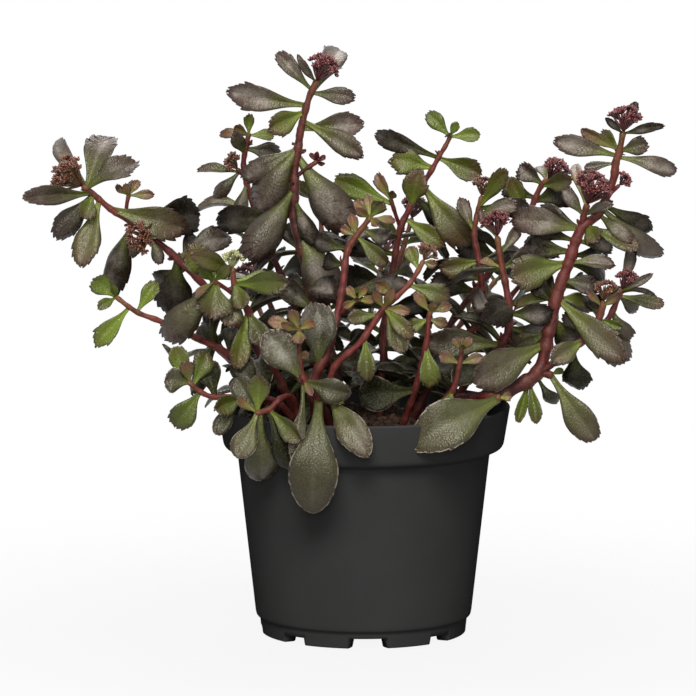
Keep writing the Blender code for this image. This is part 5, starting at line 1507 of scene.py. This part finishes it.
def pointed_body(foot, along, length, radius, flatness, facts, rng):
    """A small pointed body on its foot, round for a bud and flat for a bract."""
    side = along.orthogonal().normalized()
    other = along.cross(side)
    start = rng.uniform(0, math.tau)
    corners, tip_share = [], []
    for rise, wide in BUD_PROFILE:
        for turn in range(BUD_SIDES):
            angle = start + math.tau * turn / BUD_SIDES
            out = side * math.cos(angle) + other * (math.sin(angle) * flatness)
            corners.append(foot + along * (length * rise) + out * (radius * wide))
            tip_share.append(rise)
    faces = loft_faces(len(BUD_PROFILE), BUD_SIDES)
    given = {key: np.full(len(corners), value) for key, value in facts.items()}
    return np.array(corners) * MM, faces, {"tip": np.array(tip_share), **given}


def head_mesh(centre, up, radius, rng):
    """A flower head: tufts of pointed buds on a flattened dome, with narrow bracts round them."""
    side = up.orthogonal().normalized()
    other = up.cross(side)
    foot = centre - up * (radius + GAP)
    stars = max(4, round(STARS_PER_AREA * radius**2))
    batches = []
    for star in range(stars):
        lift = 1 - 1.3 * (star + 0.5) / stars
        level = math.sqrt(max(0.0, 1 - lift * lift))
        angle = star * GOLDEN_ANGLE + rng.uniform(-0.3, 0.3)
        way = side * (math.cos(angle) * level) + other * (math.sin(angle) * level) + up * lift
        reach = radius * rng.uniform(0.55, 0.85)
        middle = centre + side * (way.dot(side) * reach * WIDEN) + other * (way.dot(other) * reach * WIDEN)
        middle += up * (way.dot(up) * reach * FLATTEN)
        batches.append(stalk_mesh(foot, middle, radius, rng))
        out = (way + up * 0.9).normalized()
        across = out.orthogonal().normalized()
        beside = out.cross(across)
        for bud in range(BUDS_PER_STAR):
            turn = bud * GOLDEN_ANGLE + star
            spread = math.sqrt((bud + 0.3) / BUDS_PER_STAR)
            round_about = across * math.cos(turn) + beside * math.sin(turn)
            along = (out + round_about * spread * 1.1).normalized()
            start = middle + round_about * spread * rng.uniform(0.5, 1.0)
            facts = {"shade": rng.random() ** 1.5, "bract": 0.0}
            batches.append(pointed_body(
                start, along, rng.uniform(1.4, 2.2), rng.uniform(0.45, 0.65), 1.0, facts, rng
            ))
    for bract in range(4 + round(1.2 * radius)):
        angle = rng.uniform(0, math.tau)
        way = side * math.cos(angle) + other * math.sin(angle)
        along = (way + up * rng.uniform(0.2, 1.8)).normalized()
        start = centre + way * radius * 0.45 - up * radius * rng.uniform(0.0, 0.5)
        facts = {"shade": rng.random(), "bract": 1.0}
        length = min(rng.uniform(3.5, 6.0), radius)
        batches.append(pointed_body(start, along, length, rng.uniform(0.7, 1.1), 0.35, facts, rng))
    return batches


def stalk_mesh(foot, tip, radius, rng):
    """A thin stalk inside the head."""
    along = tip - foot
    facts = {"shade": 0.3, "bract": 0.5}
    return pointed_body(foot, along.normalized(), along.length, 0.35 + 0.03 * radius, 1.0, facts, rng)


# %% Bud materials


def bud_material(name, dark, light, bract):
    """Buds that pale towards their tips and differ from one to the next."""
    material, tree, shader = new_material(name, 0.4)
    shade = attribute(tree, "shade")
    middle = tuple((3 * a + b) / 4 for a, b in zip(dark, light))
    colour = colour_ramp(tree, shade, [(0.0, dark), (0.75, middle), (1.0, light)])
    tip = smooth_between(tree, *attribute(tree, "tip"), 0.5, 1.0)
    colour = layer_colour(tree, colour, light, tip, 0.3)
    leafy = smooth_between(tree, *attribute(tree, "bract"), 0.2, 0.9)
    colour = layer_colour(tree, colour, bract, leafy)
    cloud = patches(tree, 400.0, 0.4, 0.65)
    colour = layer_colour(tree, colour, dark, cloud, 0.4)
    join(tree, *colour, shader, "Base Color")
    rough_between(tree, cloud, 0.3, 0.5, shader)
    pores = place_group(tree, grain_group, Scale=2500.0, Softness=0.5)
    bump_from(tree, (pores, "Height"), 0.3, 0.0001, shader)
    return material


red_buds = bud_material("red_buds", (0.075, 0.012, 0.015), (0.36, 0.10, 0.09), (0.050, 0.018, 0.020))
rust_buds = bud_material("rust_buds", (0.085, 0.024, 0.013), (0.31, 0.13, 0.065), (0.085, 0.060, 0.020))
cream_buds = bud_material("cream_buds", (0.30, 0.30, 0.12), (0.62, 0.62, 0.36), (0.16, 0.18, 0.07))

# %% Make the flower heads
RUST_HEADS = ("left_hanging", "right_inner", "right_low", "front_flower", "back_left", "left_flower")
head_pieces = []
for name, branches in plan.items():
    for points, _, _, head in branches:
        if not head:
            continue
        head_name, radius = head
        centre, up = head_place(points, radius)
        cream = head_name.startswith("cream")
        material = cream_buds if cream else rust_buds if head_name.startswith(RUST_HEADS) else red_buds
        piece = mesh_piece(head_name + "_buds", head_mesh(centre, up, radius, rng), material)
        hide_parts(head_name)
        head_pieces.append(piece)
print("flower heads:", len(head_pieces), "triangles:", sum(map(triangles, head_pieces)))

# %% [markdown]
# ## Soil
# Potting soil is a crumbly crown of peat: a smooth dome would look like felt. The surface here is a
# fine polar grid that noise pushes up and down, and a few hundred loose crumbs lie on it.

# %% Soil surface
SOIL_RINGS = 70
SOIL_SPOKES = 150
SOIL_SKIRT = 6.0
SOIL_EDGE = SOIL_LEVEL - 1.0
SOIL_RADIUS = band_inner_radius(SOIL_EDGE) - 0.2
CRUMBS = 420
CRUMB_SIZE = (0.5, 1.9)


def rough_ground(x, y):
    """The lumpy surface of the soil, in millimetres."""
    spot = Vector((x, y, 0.0))
    lumps = 1.1 * noise.noise(spot * 0.11) + 0.7 * noise.noise(spot * 0.33) + 0.35 * noise.noise(spot * 0.9)
    reach = math.hypot(x, y) / SOIL_RADIUS
    return soil_height(x, y) * (1 - reach**8) + SOIL_EDGE * reach**8 + lumps


def soil_mesh():
    """The ground as rings of corners round a middle one, with a skirt that goes down inside the pot."""
    angles = [math.tau * spoke / SOIL_SPOKES for spoke in range(SOIL_SPOKES)]
    corners = [(0.0, 0.0, rough_ground(0, 0))]
    for ring in range(1, SOIL_RINGS + 1):
        radius = SOIL_RADIUS * ring / SOIL_RINGS
        for angle in angles:
            x, y = radius * math.cos(angle), radius * math.sin(angle)
            corners.append((x, y, rough_ground(x, y)))
    radius = SOIL_RADIUS - 2.0
    foot = SOIL_EDGE - SOIL_SKIRT
    corners += [(radius * math.cos(angle), radius * math.sin(angle), foot) for angle in angles]
    faces = [[0, 1 + spoke, 1 + (spoke + 1) % SOIL_SPOKES] for spoke in range(SOIL_SPOKES)]
    for ring in range(SOIL_RINGS):
        for spoke in range(SOIL_SPOKES):
            here = 1 + ring * SOIL_SPOKES + spoke
            beside = 1 + ring * SOIL_SPOKES + (spoke + 1) % SOIL_SPOKES
            faces.append([here, here + SOIL_SPOKES, beside + SOIL_SPOKES, beside])
    first = 1 + SOIL_RINGS * SOIL_SPOKES
    faces.append([first + spoke for spoke in range(SOIL_SPOKES)][::-1])
    return np.array(corners) * MM, faces, {"crumb": np.zeros(len(corners))}


def crumb_mesh(rng):
    """A loose crumb: a ball pushed out of shape, half sunk in the ground."""
    angle = rng.uniform(0, math.tau)
    reach = (SOIL_RADIUS - 3.0) * math.sqrt(rng.uniform(0, 1))
    x, y = reach * math.cos(angle), reach * math.sin(angle)
    size = rng.uniform(*CRUMB_SIZE)
    bm = bmesh.new()
    bmesh.ops.create_icosphere(bm, subdivisions=2, radius=1.0)
    seed = Vector(rng.uniform(0, 50, 3))
    stretch = Vector(rng.uniform(0.6, 1.3, 3))
    middle = Vector((x, y, rough_ground(x, y) + size * 0.2))
    corners = []
    for vert in bm.verts:
        push = 1 + 0.45 * noise.noise(vert.co * 1.3 + seed)
        corners.append(middle + vert.co * stretch * (size * push))
    faces = [[vert.index for vert in face.verts] for face in bm.faces]
    bm.free()
    return np.array(corners) * MM, faces, {"crumb": np.full(len(corners), rng.uniform(0.3, 1.0))}


# %% Soil material
soil_material, tree, shader = new_material("peat", 0.95)
clods = patches(tree, 260.0, 0.35, 0.7)
colour = layer_colour(tree, (0.020, 0.012, 0.008), (0.075, 0.040, 0.022), clods)
colour = layer_colour(tree, colour, (0.13, 0.060, 0.030), attribute(tree, "crumb"), 0.55)
grit = place_group(tree, grain_group, Scale=1100.0, Softness=0.2)
colour = layer_colour(tree, colour, (0.012, 0.008, 0.006), (grit, "Mask"), 0.3)
join(tree, *colour, shader, "Base Color")
rough_between(tree, (grit, "Mask"), 0.85, 1.0, shader)
bump_from(tree, (grit, "Height"), 0.8, 0.0006, shader)

# %% Make the soil
soil = mesh_piece("soil_surface", [soil_mesh()] + [crumb_mesh(rng) for _ in range(CRUMBS)], soil_material)
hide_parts("potting_soil")
print("soil triangles:", triangles(soil))

# %% [markdown]
# ## Pot
# The pot is thin moulded plastic: a tapered wall, a taller rim band that steps out, and a foot ring
# with notches that let water out. It is turned from one profile. On a real moulding no edge is
# sharp, so each corner of the profile is replaced with a small arc before it is turned.

# %% Pot shape
POT_TURNS = 160
FOOT_THICK = 5.0


def rounded(profile, radius, steps=4):
    """The profile with each corner replaced by a small arc."""
    points = [Vector((r, h)) for r, h in profile]
    made = [points[0]]
    for before, here, after in zip(points, points[1:], points[2:]):
        reach = min(radius, (before - here).length * 0.45, (after - here).length * 0.45)
        start = here + (before - here).normalized() * reach
        end = here + (after - here).normalized() * reach
        for step in range(steps + 1):
            share = step / steps
            made.append(start.lerp(here, share).lerp(here.lerp(end, share), share))
    made.append(points[-1])
    return made


def turned_piece(name, profile, turns):
    """A mesh object turned from a profile that starts and ends on the axis."""
    inner = profile[1:-1]
    corners = [(0.0, 0.0, profile[0].y), (0.0, 0.0, profile[-1].y)]
    for point in inner:
        for turn in range(turns):
            angle = math.tau * turn / turns
            corners.append((point.x * math.cos(angle), point.x * math.sin(angle), point.y))
    faces = []
    for turn in range(turns):
        beside = (turn + 1) % turns
        faces.append([0, 2 + turn, 2 + beside])
        last = 2 + (len(inner) - 1) * turns
        faces.append([1, last + beside, last + turn])
        for ring in range(len(inner) - 1):
            here = 2 + ring * turns
            faces.append([here + turn, here + turns + turn, here + turns + beside, here + beside])
    mesh = bpy.data.meshes.new(name)
    mesh.from_pydata(np.array(corners) * MM, [], faces)
    return linked(name, mesh)


def pot_profile():
    """The pot's section: the inside from the axis up to the lip, then the outside down to the axis."""
    band_foot = POT_HEIGHT - RIM_BAND
    step = band_foot - 2.0
    outside = [
        (RIM_RADIUS - RIM_LIP / 2, POT_HEIGHT), (RIM_RADIUS, POT_HEIGHT - LIP_ROUND),
        (RIM_FOOT_RADIUS, band_foot + 1.4), (RIM_FOOT_RADIUS - 0.8, band_foot),
        (RIM_FOOT_RADIUS - BAND_STEP, band_foot - 0.7), (BODY_TOP_RADIUS + 0.3, step),
        (body_radius(step - 2.0), step - 2.0), (BODY_FOOT_RADIUS, 2 * FOOT_HEIGHT),
        (BODY_FOOT_RADIUS - 0.35, 2 * FOOT_HEIGHT - 1.6), (FOOT_RADIUS + 0.9, FOOT_HEIGHT + 2.0),
        (FOOT_RADIUS + 0.5, FOOT_HEIGHT + 1.2), (FOOT_RADIUS, 0.0), (FOOT_RADIUS - FOOT_THICK, 0.0),
        (FOOT_RADIUS - FOOT_THICK - 0.6, FOOT_HEIGHT), (PAD_RADIUS + PAD_SLOPE, FOOT_HEIGHT),
        (PAD_RADIUS, 0.0), (0.0, 0.0),
    ]
    inside = [
        (RIM_RADIUS - RIM_LIP, POT_HEIGHT - LIP_ROUND / 2),
        (band_inner_radius(band_foot + BAND_INNER_RISE), band_foot + BAND_INNER_RISE),
        (body_radius(step - 2.0) - WALL, step - 2.0), (BODY_FOOT_RADIUS - WALL, 2 * FOOT_HEIGHT),
    ]
    raised = FOOT_HEIGHT + FLOOR_THICKNESS
    inside += [
        (FOOT_RADIUS - WALL, raised), (PAD_RADIUS + PAD_SLOPE, raised),
        (PAD_RADIUS, FLOOR_THICKNESS), (0.0, FLOOR_THICKNESS),
    ]
    return rounded(list(reversed(inside)) + outside, 0.7)


def wedge(name, around, width_in, width_out, top):
    """A cutter for one notch: narrow inside and wide outside, so that its ends slope in plan."""
    near, far = FOOT_RADIUS - FOOT_THICK - 2.0, FOOT_RADIUS + 4.0
    corners = []
    for height, spread in ((-2.0, 1.12), (top, 0.92)):
        for reach, width in ((near, width_in), (far, width_out)):
            for way in (-1, 1):
                x, y = reach, way * width / 2 * spread
                cos, sin = math.cos(around), math.sin(around)
                turned = (x * cos - y * sin, x * sin + y * cos)
                corners.append((*turned, height))
    faces = [(0, 1, 3, 2), (4, 6, 7, 5), (0, 4, 5, 1), (2, 3, 7, 6), (0, 2, 6, 4), (1, 5, 7, 3)]
    mesh = bpy.data.meshes.new(name)
    mesh.from_pydata(np.array(corners) * MM, [], faces)
    bm = bmesh.new()
    bm.from_mesh(mesh)
    bmesh.ops.recalc_face_normals(bm, faces=bm.faces)
    bm.to_mesh(mesh)
    bm.free()
    return linked(name, mesh)


def drain_cutter(name, around):
    bm = bmesh.new()
    bmesh.ops.create_cone(
        bm, cap_ends=True, segments=32, radius1=DRAIN_RADIUS * MM, radius2=DRAIN_RADIUS * MM, depth=0.02
    )
    place = Vector((DRAIN_CIRCLE * math.cos(around), DRAIN_CIRCLE * math.sin(around), 0.0)) * MM
    bmesh.ops.translate(bm, verts=bm.verts, vec=place)
    mesh = bpy.data.meshes.new(name)
    bm.to_mesh(mesh)
    bm.free()
    return linked(name, mesh)


def cut_away(piece, cutters):
    """Cuts the cutters out of a piece for good, and removes them."""
    for cutter in cutters:
        tool = piece.modifiers.new("cut", "BOOLEAN")
        tool.operation, tool.solver, tool.object = "DIFFERENCE", "EXACT", cutter
    carved = bpy.data.meshes.new_from_object(piece.evaluated_get(bpy.context.evaluated_depsgraph_get()))
    piece.modifiers.clear()
    piece.data = carved
    for cutter in cutters:
        bpy.data.objects.remove(cutter)


pot = turned_piece("pot", pot_profile(), POT_TURNS)
cutters = []
for index in range(NOTCHES):
    around = index * math.tau / NOTCHES - math.pi / 2 + NOTCH_TURN
    wide = index % (NOTCHES // 2) == 0
    widths = (10.5, 20.5) if wide else (7.0, 14.5)
    cutters.append(wedge(f"notch_{index}", around, *widths, NOTCH_HEIGHT if wide else NOTCH_HEIGHT - 1.0))
for index in range(DRAIN_HOLES):
    cutters.append(drain_cutter(f"drain_{index}", (index + 0.5) * math.tau / DRAIN_HOLES))
cut_away(pot, cutters)
pot.data.shade_smooth()
print("pot triangles:", triangles(pot))

# %% [markdown]
# The plastic is a matt charcoal with a faint eggshell and a little dust in soft clouds. It gets no
# gloss at all, because a shiny skin would mirror the white floor and turn the pot's sides grey.

# %% Pot material
pot_material, tree, shader = new_material("charcoal_plastic", 0.5)
dust = patches(tree, 22.0, 0.35, 0.75)
colour = layer_colour(tree, (0.0435, 0.0438, 0.0445), (0.0495, 0.0498, 0.0505), dust)
join(tree, *colour, shader, "Base Color")
shader.inputs["Specular IOR Level"].default_value = 0.0
rough_between(tree, dust, 0.46, 0.56, shader)
eggshell = place_group(tree, grain_group, Scale=1800.0, Softness=0.8)
bump_from(tree, (eggshell, "Height"), 0.12, 0.0001, shader)
pot.data.materials.clear()
pot.data.materials.append(pot_material)
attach(pot, "root")
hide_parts("nursery_pot")
